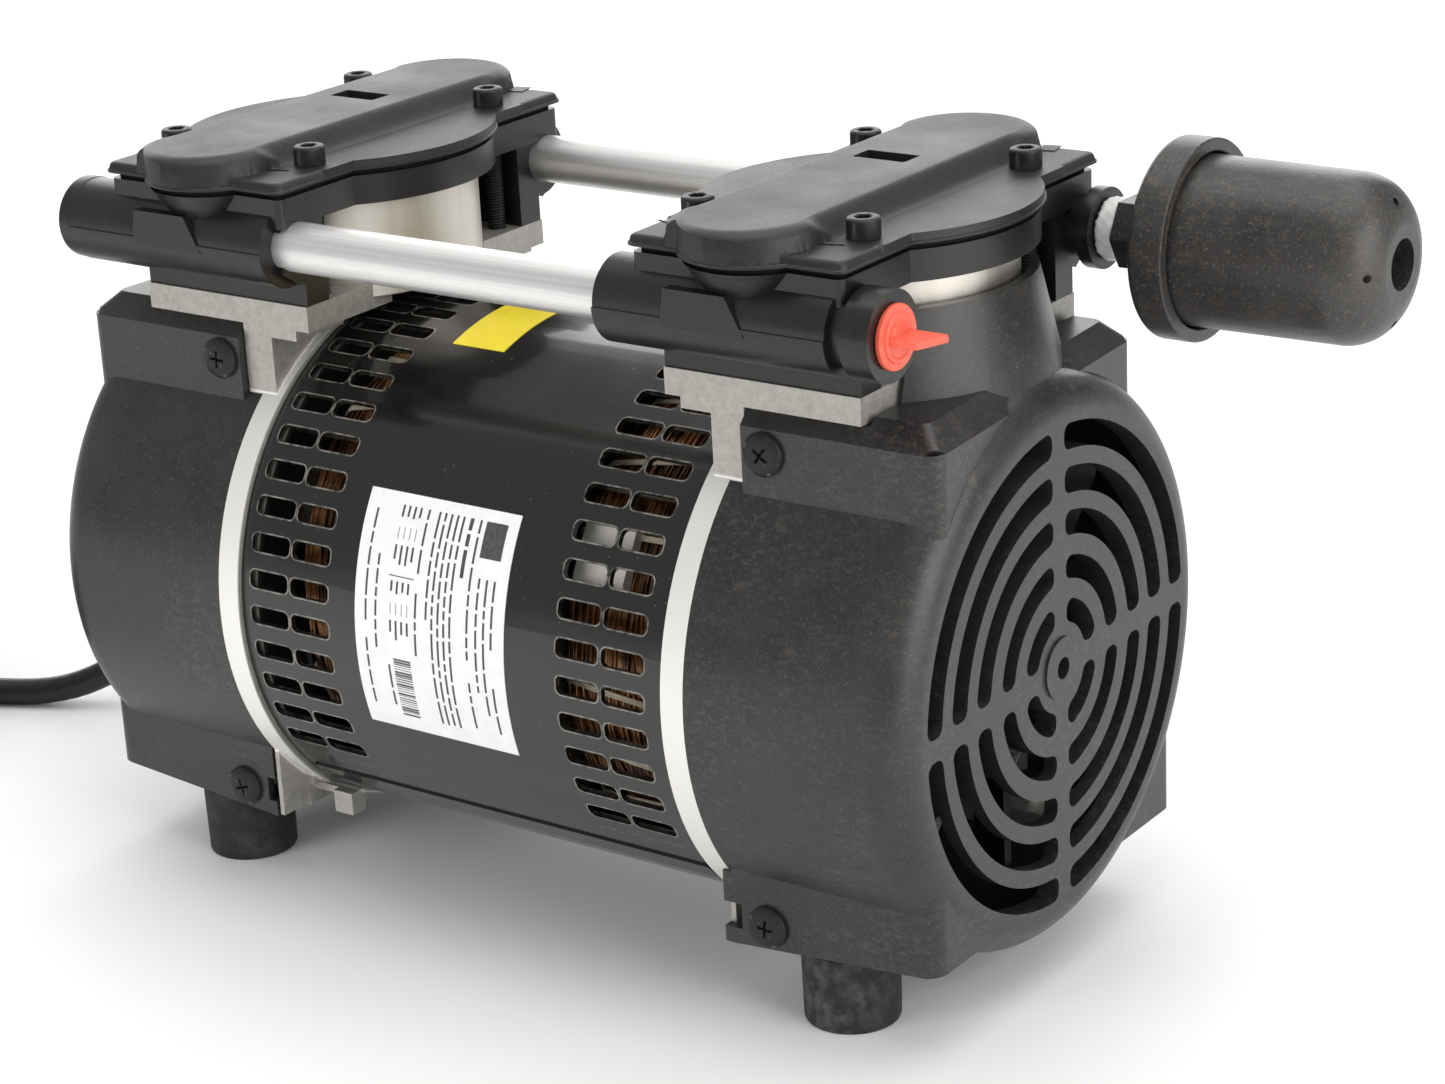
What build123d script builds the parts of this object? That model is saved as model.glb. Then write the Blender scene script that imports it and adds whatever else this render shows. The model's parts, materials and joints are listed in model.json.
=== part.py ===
from build123d import *
from math import sin, cos, radians, degrees, pi, sqrt, tan
import os

# Twin-cylinder rocking-piston vacuum pump on a double-shafted motor.
# Millimetres.  X = motor axis (inlet filter at +X), -Y = front, +Z up,
# z = 0 = underside of the four rubber feet.

# ------------------------------------------------------------ dimensions
H = 82.0               # motor axis height
SHELL_R, SHELL_T, SHELL_X = 70.0, 1.5, 67.0
SLOT_W, SLOT_H, SLOT_PITCH = 12.5, 4.6, 360 / 46
SLOT_XS = (-57.6, -44.0, 41.0, 54.7)
RING_R, RING_X0, RING_X1 = 71.5, 67.0, 73.5
WEB_X0, WEB_X1, WEB_Y = 68.8, 78.2, 48.0
BAR_X0, BAR_X1, BAR_Z0, BAR_Z1 = 55.8, 110.6, 153.2, 159.9
FOOTBAR_Z0, FOOTBAR_Z1 = 19.8, 26.0
FOOT_X, FOOT_Y, FOOT_R, FOOT_H = 98.7, 42.8, 12.2, 19.8
INSERT_R, INSERT_D = 2.5, 7.0
COVER_X1, COVER_R, COVER_T = 133.5, 71.5, 2.8
UBOX_Y, UBOX_Z = 50.2, 153.0
UBOX_ZT, UBOX_XF, UBOX_XB = 155.0, 132.0, 125.5
LBOX_Y, LBOX_ZI, LBOX_ZO = 57.1, 19.1, 23.6
GRILLE_T = 6.0
RINGS = ((11.2, 17.0), (21.8, 27.6), (32.6, 38.7), (43.0, 49.5), (53.8, 60.2))
SPOKE = 5.6
CYL_X, CYL_R, BORE_R, CYL_Z0, CYL_Z1 = 83.2, 35.4, 30.0, 156.0, 182.0
HEAD_Z1 = 189.5        # top of the head body
GASKET_T = 1.5
FLANGE_T = 2.7         # flange of the head cover
PLATEAU_Z = 199.0
SCREW_OFF, SCREW_PX, SCREW_PY, SCREW_R = -1.2, 45.8, 71.3, 2.4
TUBE_R, TUBE_Y, TUBE_Z = 6.35, 50.4, 176.5
MAN_R = 10.4
BASE_X, CAN_X1 = 137.0, 196.3   # back of the filter base, end of its canister
SHAFT_R, SHAFT_END_R, SHAFT_X = 7.5, 6.35, 124.0
THROW = 5.0            # crank throw; stroke is twice this
JOURNAL_R = 12.5
CORD_D = 8.0
EXIT_Y, EXIT_Z = 22.0, 29.4   # cord outlet in the left fan cover
FIT = 0.04             # running fit, radial

os.makedirs("parts", exist_ok=True)
YZ = lambda x: Plane(origin=(x, 0, 0), x_dir=(0, 1, 0), z_dir=(1, 0, 0))


def save(part, name):
    part.label = name
    export_step(part, "parts/" + name + ".step")


def both(part, name):
    save(part, name + "_right")
    save(mirror(part, about=Plane.YZ), name + "_left")


# ------------------------------------------------------------ motor shell
with BuildPart() as motor_shell:
    with BuildSketch(YZ(-SHELL_X)):
        with Locations((0, H)):
            Circle(SHELL_R)
            Circle(SHELL_R - SHELL_T, mode=Mode.SUBTRACT)
    extrude(amount=2 * SHELL_X)
    # rolled seam rail along the lower front
    a = radians(-45.0)
    with BuildSketch(Plane(origin=(-64, -(SHELL_R - 0.5) * cos(a), H + (SHELL_R - 0.5) * sin(a)),
                           x_dir=(0, -sin(a), -cos(a)), z_dir=(1, 0, 0))):
        Rectangle(7.0, 1.9)
    extrude(amount=128)
    # vent slots, four columns round the upper part
    for k in range(-4, 27):
        a = radians(1.2 + SLOT_PITCH * k)
        pl = Plane(origin=(0, -65 * cos(a), H + 65 * sin(a)), x_dir=(1, 0, 0),
                   z_dir=(0, -cos(a), sin(a)))
        with BuildSketch(pl):
            with Locations(*[(x, 0) for x in SLOT_XS]):
                RectangleRounded(SLOT_W, SLOT_H, 1.5)
    extrude(amount=9, mode=Mode.SUBTRACT)
save(motor_shell.part, "motor_shell")

# ------------------------------------------------------------ stator
with BuildPart() as stator_core:
    with BuildSketch(YZ(-28)):
        with Locations((0, H)):
            Circle(68.3)
            Circle(39.0, mode=Mode.SUBTRACT)
            with PolarLocations(64.8, 4, start_angle=45):
                Circle(3.2, mode=Mode.SUBTRACT)
            with PolarLocations(47.0, 24):
                Rectangle(11, 5, mode=Mode.SUBTRACT)
            with PolarLocations(40.0, 24):
                Rectangle(6, 2.4, mode=Mode.SUBTRACT)
    extrude(amount=56)
save(stator_core.part, "stator_core")

with BuildPart() as stator_windings:
    for s in (1, -1):
        with BuildSketch(Plane.XY.offset(H)):
            with Locations((s * 42.6, 51.5)):
                RectangleRounded(29.0, 17.0, 6.0)
        revolve(axis=Axis((0, 0, H), (1, 0, 0)), revolution_arc=360)
save(stator_windings.part, "stator_windings")

# clixon-type protector tied to the right end turns, front side
with BuildPart() as thermal_protector:
    a = radians(30)
    with BuildSketch(Plane(origin=(33, -60.4 * cos(a), H + 60.4 * sin(a)), x_dir=(0, sin(a), cos(a)),
                           z_dir=(1, 0, 0))):
        RectangleRounded(18.0, 6.0, 2.4)
    extrude(amount=15)
    with BuildSketch(YZ(27.0)):
        with Locations((0, H)):
            Circle(60.3)
    extrude(amount=30, mode=Mode.SUBTRACT)
save(thermal_protector.part, "thermal_protector")

with BuildPart() as through_bolts:
    for i in range(4):
        a = radians(45 + 90 * i)
        with BuildSketch(YZ(-76.3)):
            with Locations((64.8 * cos(a), H + 64.8 * sin(a))):
                Circle(2.4)
        extrude(amount=152.6)
        for x0 in (-76.6, 73.6):
            with BuildSketch(YZ(x0)):
                with Locations((64.8 * cos(a), H + 64.8 * sin(a))):
                    RegularPolygon(3.6, 6)
            extrude(amount=3.0)
save(through_bolts.part, "through_bolts")


# ------------------------------------------------------------ end bracket
with BuildPart() as bracket:
    with BuildSketch(YZ(RING_X0)):
        with Locations((0, H)):
            Circle(RING_R)
    extrude(amount=RING_X1 - RING_X0)
    with BuildSketch(YZ(63.0)):                         # spigot into the shell
        with Locations((0, H)):
            Circle(68.3)
            Circle(66.6, mode=Mode.SUBTRACT)
    extrude(amount=4.0)
    for z0, z1 in ((120.0, BAR_Z0), (FOOTBAR_Z1, 46.0)):  # webs above and below
        with BuildSketch(YZ(WEB_X0)):
            with Locations((0, (z0 + z1) / 2)):
                Rectangle(2 * WEB_Y, z1 - z0)
        extrude(amount=WEB_X1 - WEB_X0)
    with BuildSketch(Plane.XY.offset(BAR_Z0)):          # cylinder bar
        with Locations(((BAR_X0 + BAR_X1) / 2, 0)):
            Rectangle(BAR_X1 - BAR_X0, 2 * WEB_Y)
    extrude(amount=BAR_Z1 - BAR_Z0)
    with BuildSketch(Plane.XY.offset(150.4)):           # ledge under the inner side
        with Locations((64.6, -39.0), (64.6, 39.0)):
            Rectangle(8.8, 18.0)
    extrude(amount=3.0)
    with BuildSketch(Plane.XY.offset(FOOTBAR_Z0)):      # foot bar, front and back
        with Locations((74.5, -39.0), (74.5, 39.0)):
            Rectangle(7.5, 18.0)
        with Locations((94.4, -39.0), (94.4, 39.0)):
            Rectangle(32.4, 18.0)
        with Locations((58.9, 45.4)):
            Rectangle(6.2, 5.2)
    extrude(amount=FOOTBAR_Z1 - FOOTBAR_Z0)
    with BuildSketch(Plane.XY.offset(24.0)):            # web joining the ribs
        with Locations((69.0, 44.4)):
            Rectangle(26.0, 3.2)
    extrude(amount=2.0)
    with BuildSketch(YZ(72.0)):                         # gussets between ring and foot bar
        for f, yg, zg in ((1, 57.0, 39.4), (-1, 54.4, 37.1)):
            with BuildLine():
                Polyline((f * yg, FOOTBAR_Z0), (f * yg, zg), (f * 50.0, 33.2), (f * 44.0, 28.0),
                         (f * 44.0, FOOTBAR_Z0), close=True)
            make_face()
    extrude(amount=1.4)
    # bosses for the side screws
    with BuildSketch(Plane.XY.offset(138.0)):
        with Locations((84.5, -43.0), (84.5, 43.0)):
            Rectangle(13.0, 9.4)
    extrude(amount=11.0)
    with BuildSketch(Plane.XY.offset(FOOTBAR_Z1 - 0.5)):
        with Locations((85.0, -47.6), (85.0, 47.6)):
            Rectangle(12.0, 13.4)
    extrude(amount=6.0)
    with BuildSketch(YZ(62.5)):                         # bearing hub
        with Locations((0, H)):
            Circle(23.5)
    extrude(amount=15.5)
    # openings in the end wall for air
    with BuildSketch(YZ(60.0)):
        with Locations((0, H)):
            with PolarLocations(43.5, 6, start_angle=30):
                SlotOverall(26, 17, rotation=90)
    extrude(amount=20, mode=Mode.SUBTRACT)
    with BuildSketch(YZ(66.0)):                         # bearing seat
        with Locations((0, H)):
            Circle(17.5)
    extrude(amount=15, mode=Mode.SUBTRACT)
    with BuildSketch(YZ(60.0)):                         # shaft clearance
        with Locations((0, H)):
            Circle(9.5)
    extrude(amount=20, mode=Mode.SUBTRACT)
    for i in range(4):                                  # through-bolt holes
        a = radians(45 + 90 * i)
        with BuildSketch(YZ(60)):
            with Locations((64.8 * cos(a), H + 64.8 * sin(a))):
                Circle(2.5)
        extrude(amount=20, mode=Mode.SUBTRACT)
        with BuildSketch(YZ(RING_X1)):
            with Locations((64.8 * cos(a), H + 64.8 * sin(a))):
                Circle(4.2)
        extrude(amount=8, mode=Mode.SUBTRACT)
    with BuildSketch(Plane.XY.offset(150)):             # piston passage
        with Locations((CYL_X, 0)):
            Circle(31.5)
    extrude(amount=12, mode=Mode.SUBTRACT)
    with BuildSketch(Plane.XY.offset(CYL_Z0)):          # cylinder seat
        with Locations((CYL_X, 0)):
            Circle(CYL_R + 0.1)
    extrude(amount=8, mode=Mode.SUBTRACT)
    with BuildSketch(Plane.XZ.offset(60)):              # side screw holes, front to back
        with Locations((85.0, 143.5), (85.0, 26.0)):
            Circle(2.1)
    extrude(amount=-120, mode=Mode.SUBTRACT)
    with BuildSketch(Plane.XY.offset(FOOTBAR_Z0 - 1)):  # foot studs
        with Locations((FOOT_X, -FOOT_Y), (FOOT_X, FOOT_Y)):
            Circle(3.05)
    extrude(amount=10, mode=Mode.SUBTRACT)

for s, nm in ((1, "right"), (-1, "left")):
    xc = s * CYL_X + SCREW_OFF
    base = bracket.part if s > 0 else bracket.part.rotate(Axis.Z, 180)
    with BuildPart() as end_bracket:
        add(base)
        with BuildSketch(Plane.XY.offset(BAR_Z0 - 1)):  # tapped holes for the head screws
            with Locations((xc, 0)):
                with GridLocations(SCREW_PX, SCREW_PY, 2, 2):
                    Circle(SCREW_R + 0.05)
        extrude(amount=10, mode=Mode.SUBTRACT)
    save(end_bracket.part, "end_bracket_" + nm)

with BuildPart() as shaft_bearings:
    for x0 in (66.0, -77.0):
        with BuildSketch(YZ(x0)):
            with Locations((0, H)):
                Circle(17.5)
                Circle(SHAFT_R + FIT, mode=Mode.SUBTRACT)
        extrude(amount=11)
        for x1 in (x0 - 0.01, x0 + 9.81):               # shield recesses
            with BuildSketch(YZ(x1)):
                with Locations((0, H)):
                    Circle(15.2)
                    Circle(10.2, mode=Mode.SUBTRACT)
            extrude(amount=1.2, mode=Mode.SUBTRACT)
save(shaft_bearings.part, "shaft_bearings")

# ------------------------------------------------------------ fan covers
with BuildPart() as upper_box:                          # end face runs slightly aslant
    with BuildSketch(Plane.XY.offset(H + 20)):
        with BuildLine():
            Polyline((WEB_X1 + 0.3, -UBOX_Y), (UBOX_XF, -UBOX_Y), (UBOX_XB, UBOX_Y), (WEB_X1 + 0.3, UBOX_Y), close=True)
        make_face()
    extrude(amount=UBOX_ZT - H - 20)
    chamfer([e for e in upper_box.faces().sort_by(Axis.Z)[-1].edges() if e.center().X > WEB_X1 + 1.0], 5.5)
    fillet([e for e in upper_box.edges().filter_by(Axis.Z) if e.center().X > 110]
           + [e for e in upper_box.edges() if e.center().X > 115 and 149.6 < e.center().Z < 154.9
              and abs(e.center().Y) > 40], 4.0)
with BuildPart() as lower_box:                          # floor rises outwards
    with BuildSketch(Plane.XZ.offset(-LBOX_Y)):
        with BuildLine():
            Polyline((74.4, LBOX_ZI), (132.6, LBOX_ZO), (132.6, H - 20), (74.4, H - 20), close=True)
        make_face()
    extrude(amount=2 * LBOX_Y)
    fillet(lower_box.edges().filter_by(Axis.Z).sort_by(Axis.X)[-2:], 4.5)
with BuildPart() as fan_cover:
    with BuildSketch(YZ(RING_X1)):
        with Locations((0, H)):
            Circle(COVER_R)
    extrude(amount=COVER_X1 - RING_X1)
    fillet(fan_cover.faces().sort_by(Axis.X)[-1].edges(), 10.0)
    add(upper_box.part)
    add(lower_box.part)
    with BuildSketch(Plane.XY.offset(150.0)):           # shroud round the cylinder's outer half
        with Locations((CYL_X, 0)):
            Circle(45.6)
    with BuildSketch(Plane.XY.offset(175.5)):
        with Locations((CYL_X, 0)):
            Circle(39.8)
    loft()
    # hollow
    with BuildSketch(YZ(RING_X1 - 1)):
        with Locations((0, H)):
            Circle(COVER_R - COVER_T)
    extrude(amount=COVER_X1 - GRILLE_T - RING_X1 + 1, mode=Mode.SUBTRACT)
    with BuildSketch(Plane.XY.offset(H + 20)):
        with Locations(((70 + 122.4) / 2, 0)):
            Rectangle(52.4, 2 * (UBOX_Y - 2.4))
    extrude(amount=150.2 - H - 20, mode=Mode.SUBTRACT)
    with BuildSketch(Plane.XZ.offset(-(LBOX_Y - 2.4))):
        with BuildLine():
            Polyline((70.0, LBOX_ZI + 2.2), (129.8, LBOX_ZO + 2.4), (129.8, H - 20), (70.0, H - 20), close=True)
        make_face()
    extrude(amount=2 * (LBOX_Y - 2.4), mode=Mode.SUBTRACT)
    with BuildSketch(Plane.XY.offset(149.0)):
        with Locations((CYL_X, 0)):
            Circle(43.0)
    with BuildSketch(Plane.XY.offset(176.0)):
        with Locations((CYL_X, 0)):
            Circle(37.2)
    loft(mode=Mode.SUBTRACT)
    with BuildSketch(Plane.XY.offset(UBOX_Z)):          # only the part outside the bar stays
        with Locations((BAR_X1 + 1.6 - 60, 0)):
            Rectangle(120, 130)
    extrude(amount=40, mode=Mode.SUBTRACT)
    with BuildSketch(Plane.XY.offset(100.0)):
        with Locations((RING_X1 - 30, 0)):
            Rectangle(60, 130)
    extrude(amount=80, mode=Mode.SUBTRACT)
    # ring ribs of the air inlet grille
    for r0, r1 in RINGS:
        with BuildSketch(YZ(COVER_X1 - GRILLE_T - 1)) as ring_slots:
            with Locations((0, H)):
                Circle(r1)
                Circle(r0, mode=Mode.SUBTRACT)
                Rectangle(2 * r1 + 4, SPOKE, mode=Mode.SUBTRACT)
                Rectangle(SPOKE, 2 * r1 + 4, mode=Mode.SUBTRACT)
            fillet(ring_slots.vertices(), 2.5)
        extrude(amount=GRILLE_T + 2, mode=Mode.SUBTRACT)
    with BuildSketch(YZ(COVER_X1)):
        with Locations((0, H)):
            Circle(7.8)
    extrude(amount=0.6)
    with BuildSketch(YZ(COVER_X1 - 10)):
        with Locations((0, H)):
            Circle(2.75)
    extrude(amount=12, mode=Mode.SUBTRACT)
    # clearance for the bracket webs, foot bar and lower inner notch
    with BuildSketch(Plane.XY.offset(125.0)):
        with Locations((73.0, 0)):
            Rectangle(11.0, 2 * WEB_Y + 0.6)
    extrude(amount=40, mode=Mode.SUBTRACT)
    with BuildSketch(Plane.XY.offset(15.0)):
        with Locations((73.0, 0)):
            Rectangle(11.0, 2 * WEB_Y + 0.6)
        with Locations((82.0, -39.0), (82.0, 39.0)):
            Rectangle(58.0, 18.6)
    extrude(amount=11.3, mode=Mode.SUBTRACT)
    with BuildSketch(Plane.XY.offset(15.0)):
        with Locations((73.0, 0)):
            Rectangle(11.0, 2 * WEB_Y + 0.6)
    extrude(amount=32, mode=Mode.SUBTRACT)
    with BuildSketch(Plane.XZ.offset(-60)):
        with Locations((75.2, 26.6)):
            Rectangle(3.8, 6.6)
    extrude(amount=120, mode=Mode.SUBTRACT)
    with BuildSketch(Plane.XZ.offset(-60)):             # side screw holes
        with Locations((85.0, 143.5), (85.0, 26.0)):
            Circle(2.4)
    extrude(amount=120, mode=Mode.SUBTRACT)
print("fan_cover solids", [(round(q.volume,1), q.bounding_box()) for q in fan_cover.part.solids()])
with BuildPart() as fan_cover_right:
    add(fan_cover.part)
    with BuildSketch(Plane.XY.offset(LBOX_ZI)):         # lip over the edge of the bracket, front side
        with Locations((73.7, -(LBOX_Y - 1.2))):
            Rectangle(3.4, 2.4)
    extrude(amount=18.9)
    with BuildSketch(Plane.XZ.offset(53.0)):
        with Locations((74.2, 26.6)):
            Rectangle(5.2, 6.6)
    extrude(amount=8, mode=Mode.SUBTRACT)
print("right cover solids", len(fan_cover_right.part.solids()))
save(fan_cover_right.part, "fan_cover_right")
left_cover = mirror(fan_cover.part, about=Plane.YZ)
with BuildPart() as fan_cover_left:
    add(left_cover)
    with BuildSketch(YZ(-COVER_X1)):                    # blank sector of the grille for the cord outlet
        with Locations((0, H)):
            Circle(60.6)
            Circle(53.4, mode=Mode.SUBTRACT)
            with Locations((-40.0, 0), (0, 40.0)):
                Rectangle(80, 80, mode=Mode.SUBTRACT)
            with Locations((-36.0, -40.0)):
                Rectangle(72, 80, mode=Mode.SUBTRACT)
    extrude(amount=GRILLE_T)
    with BuildSketch(YZ(-136.0)):
        with Locations((EXIT_Y, EXIT_Z)):
            Circle(5.0)
    extrude(amount=10, mode=Mode.SUBTRACT)
save(fan_cover_left.part, "fan_cover_left")

with BuildPart() as cover_screws:
    for s in (1, -1):
        for yw, z in ((UBOX_Y, 143.5), (LBOX_Y, 26.0)):
            for f in (1, -1):
                pl = Plane(origin=(s * 85.0, f * yw, z), x_dir=(1, 0, 0), z_dir=(0, f, 0))
                with BuildSketch(pl):
                    Circle(5.35)
                extrude(amount=1.5)
                with BuildSketch(pl.offset(1.5)):
                    Circle(4.1)
                extrude(amount=0.7)
                with BuildSketch(pl):
                    Circle(2.0)
                extrude(amount=-8.5)
                with BuildSketch(pl.offset(1.0)):
                    Rectangle(4.4, 1.0)
                    Rectangle(1.0, 4.4)
                extrude(amount=3, mode=Mode.SUBTRACT)
save(cover_screws.part, "cover_screws")

# ------------------------------------------------------------ cylinders
with BuildPart() as cylinder:
    with BuildSketch(Plane.XY.offset(CYL_Z0)):
        with Locations((CYL_X, 0)):
            Circle(CYL_R)
            Circle(BORE_R, mode=Mode.SUBTRACT)
    extrude(amount=CYL_Z1 - CYL_Z0)
    chamfer(cylinder.faces().sort_by(Axis.Z)[0].edges().sort_by(SortBy.RADIUS)[0], 0.8)
both(cylinder.part, "cylinder")


# ------------------------------------------------------------ heads
def head_outline(xc, grow):
    with Locations((xc, 0)):
        Rectangle(59.6 + 2 * grow, 113.6 + 2 * grow)
        Circle(41.2 + grow)
    with Locations((xc, -46.3), (xc, 46.3)):
        Circle(18.2 + grow)


EX_Y, IN_Y = -14.0, 14.0       # exhaust and intake ports in the head plate
for s, nm in ((1, "right"), (-1, "left")):
    xc = s * CYL_X
    xs = xc + SCREW_OFF
    with BuildPart() as head_body:
        with BuildSketch(Plane.XY.offset(CYL_Z1)):
            with Locations((xc, 0)):
                Rectangle(58.0, 112.0)
                Circle(40.4)
        extrude(amount=HEAD_Z1 - CYL_Z1)
        fillet([e for e in head_body.edges().filter_by(Axis.Z) if abs(abs(e.center().Y) - 56) < 2
                and abs(abs(e.center().X - xc) - 29) < 1.5], 2.0)
        for f in (1, -1):                               # end lobes draw in towards the pipes
            with BuildSketch(Plane(origin=(xc, f * 46.3, HEAD_Z1), x_dir=(1, 0, 0), z_dir=(0, 0, -1))):
                Circle(17.4)
            extrude(amount=HEAD_Z1 - CYL_Z1, taper=34)
        for f in (1, -1):
            with BuildSketch(YZ(xc - 27.4)):            # beam and foot
                with BuildLine():
                    Polyline((f * 39.2, 182.5), (f * 39.2, BAR_Z1), (f * 47.4, BAR_Z1), (f * 47.4, 167.4),
                             (f * 49.0, 166.0), (f * 55.0, 170.0), (f * 55.0, 182.5), close=True)
                make_face()
            extrude(amount=54.8)
        if s > 0:
            spans = ((-1, 45.8, 110.0), (1, 45.8, 108.0))
        else:
            spans = ((-1, -124.0, -57.6), (1, -124.0, -57.0))
        for f, x0, x1 in spans:                         # manifold pipes
            with BuildSketch(YZ(x0)):
                with Locations((f * TUBE_Y, TUBE_Z)):
                    Circle(MAN_R)
            extrude(amount=x1 - x0)
        # raised moulding step on the lower half of the front pipe
        x0, x1 = spans[0][1], spans[0][2]
        with BuildSketch(YZ(x0)):
            with Locations((-TUBE_Y, TUBE_Z)):
                Circle(MAN_R + 0.45)
            with Locations((-TUBE_Y, TUBE_Z + 15)):
                Rectangle(40, 30, mode=Mode.SUBTRACT)
        extrude(amount=x1 - x0)
        with BuildSketch(Plane.XZ.offset(TUBE_Y + 6.0)):
            with BuildLine():
                Polyline((xc - 18, TUBE_Z - 2), (xc - 16.5, 183.6), (xc + 0.5, 183.6), (xc + 5.5, TUBE_Z - 2),
                         close=True)
            make_face()
        extrude(amount=4.9)
        # port necks and flanges
        if s > 0:
            for f, xn, xf, xe, rf in ((-1, 110.0, 114.0, 121.4, 10.7), (1, 108.0, 115.4, 118.9, 10.1)):
                with BuildSketch(YZ(xn)):
                    with Locations((f * TUBE_Y, TUBE_Z)):
                        Circle(8.6 if f < 0 else 7.7)
                extrude(amount=xe - xn)
                with BuildSketch(YZ(xf)):
                    with Locations((f * TUBE_Y, TUBE_Z)):
                        Circle(rf)
                extrude(amount=xe - xf)
        # pipe bores: tube sockets on the inner ends, ports on the outer ends
        for f in (1, -1):
            inner0 = 45.8 if s > 0 else -55.0
            outer0 = (121.4 if f < 0 else 118.9) if s > 0 else -124.0
            lo, hi = min(inner0, outer0), max(inner0, outer0)
            with BuildSketch(YZ(lo - 1)):
                with Locations((f * TUBE_Y, TUBE_Z)):
                    Circle(6.4)
            extrude(amount=hi - lo + 2, mode=Mode.SUBTRACT)
            # riser from the pipe to the chamber above
            with BuildSketch(Plane.XY.offset(TUBE_Z)):
                with Locations((xc, f * TUBE_Y)):
                    Circle(4.5)
            extrude(amount=20, mode=Mode.SUBTRACT)
        with BuildSketch(Plane.XY.offset(CYL_Z1 - 1)):  # valve ports
            with Locations((xc, EX_Y), (xc, IN_Y)):
                Circle(3.6)
        extrude(amount=12, mode=Mode.SUBTRACT)
        with BuildSketch(Plane.XY.offset(CYL_Z1 - 1)):  # screw clearance
            with Locations((xs, 0)):
                with GridLocations(SCREW_PX, SCREW_PY, 2, 2):
                    Circle(SCREW_R + 0.15)
        extrude(amount=12, mode=Mode.SUBTRACT)
        with BuildSketch(Plane.XY.offset(BAR_Z1 - 1)):  # open channel behind each screw shank
            with Locations((xs, 0)):
                with GridLocations(SCREW_PX, SCREW_PY, 2, 2):
                    Circle(SCREW_R + 1.4)
        extrude(amount=CYL_Z1 - BAR_Z1 + 1, mode=Mode.SUBTRACT)
    print("head", nm, len(head_body.part.solids()))
    save(head_body.part, "head_body_" + nm)

    with BuildPart() as head_gasket:
        with BuildSketch(Plane.XY.offset(HEAD_Z1)):
            head_outline(xc, -2.6)
            with Locations((xc, -31.0), (xc, 31.0)):
                RectangleRounded(22.0, 52.0, 6.0, mode=Mode.SUBTRACT)
            with Locations((xs, 0)):
                with GridLocations(SCREW_PX, SCREW_PY, 2, 2):
                    Circle(SCREW_R + 0.15, mode=Mode.SUBTRACT)
        extrude(amount=GASKET_T)
    save(head_gasket.part, "head_gasket_" + nm)

    z0 = HEAD_Z1 + GASKET_T
    with BuildPart() as head_cover:
        with BuildSketch(Plane.XY.offset(z0)):
            head_outline(xc, 0)
        extrude(amount=FLANGE_T)
        fillet([e for e in head_cover.edges().filter_by(Axis.Z) if abs(abs(e.center().Y) - 56.8) < 1
                and abs(abs(e.center().X - xc) - 29.8) < 1], 2.5)
        with BuildSketch(Plane.XY.offset(z0)):          # raised chamber, lobed at both ends
            with Locations((xc - 0.6, 0)):
                Rectangle(35.0, 84.0)
            with Locations((xc, -46.3), (xc, 46.3)):
                Circle(18.2)
        extrude(amount=FLANGE_T + 2.0)
        with BuildSketch(Plane.XY.offset(z0 + FLANGE_T + 2.0)):
            with Locations((xc - 0.6, 0)):
                Rectangle(35.0, 84.0)
        extrude(amount=PLATEAU_Z - z0 - FLANGE_T - 2.0, taper=28)
        for f in (1, -1):
            with BuildSketch(Plane.XY.offset(z0 + FLANGE_T + 2.0)):
                with Locations((xc, f * 46.3)):
                    Circle(18.2)
            extrude(amount=PLATEAU_Z - z0 - FLANGE_T - 2.0, taper=28)
        with BuildSketch(Plane.XY.offset(PLATEAU_Z)):   # moulded pocket
            with Locations((xc - 1.2, 11.0)):
                Rectangle(12.5, 7.0)
        extrude(amount=-1.8, mode=Mode.SUBTRACT)
        with BuildSketch(Plane.XY.offset(z0)):          # intake and exhaust chambers
            with Locations((xc, -31.0), (xc, 31.0)):
                RectangleRounded(22.0, 52.0, 6.0)
        extrude(amount=4.4, mode=Mode.SUBTRACT)
        with BuildSketch(Plane.XY.offset(z0 - 1)):
            with Locations((xs, 0)):
                with GridLocations(SCREW_PX, SCREW_PY, 2, 2):
                    Circle(SCREW_R + 0.15)
        extrude(amount=12, mode=Mode.SUBTRACT)
        with BuildSketch(Plane.XY.offset(z0 + FLANGE_T)):   # spot faces for the screw heads
            with Locations((xs, 0)):
                with GridLocations(SCREW_PX, SCREW_PY, 2, 2):
                    Circle(4.5)
        extrude(amount=12, mode=Mode.SUBTRACT)
    print("cover", nm, len(head_cover.part.solids()), head_cover.part.volume)
    save(head_cover.part, "head_cover_" + nm)

    # reed valves: thin spring-steel tongues over the two ports
    with BuildPart() as exhaust_reed:
        with BuildSketch(Plane.XY.offset(HEAD_Z1 + 0.02)):
            with Locations((xc, -19.5)):
                RectangleRounded(10.0, 21.0, 2.0)
        extrude(amount=0.3)
    save(exhaust_reed.part, "exhaust_reed_" + nm)
    with BuildPart() as intake_reed:
        with BuildSketch(Plane.XY.offset(CYL_Z1 - 0.32)):
            with Locations((xc, 18.0)):
                RectangleRounded(10.0, 18.0, 2.0)
        extrude(amount=0.3)
    save(intake_reed.part, "intake_reed_" + nm)

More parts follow.
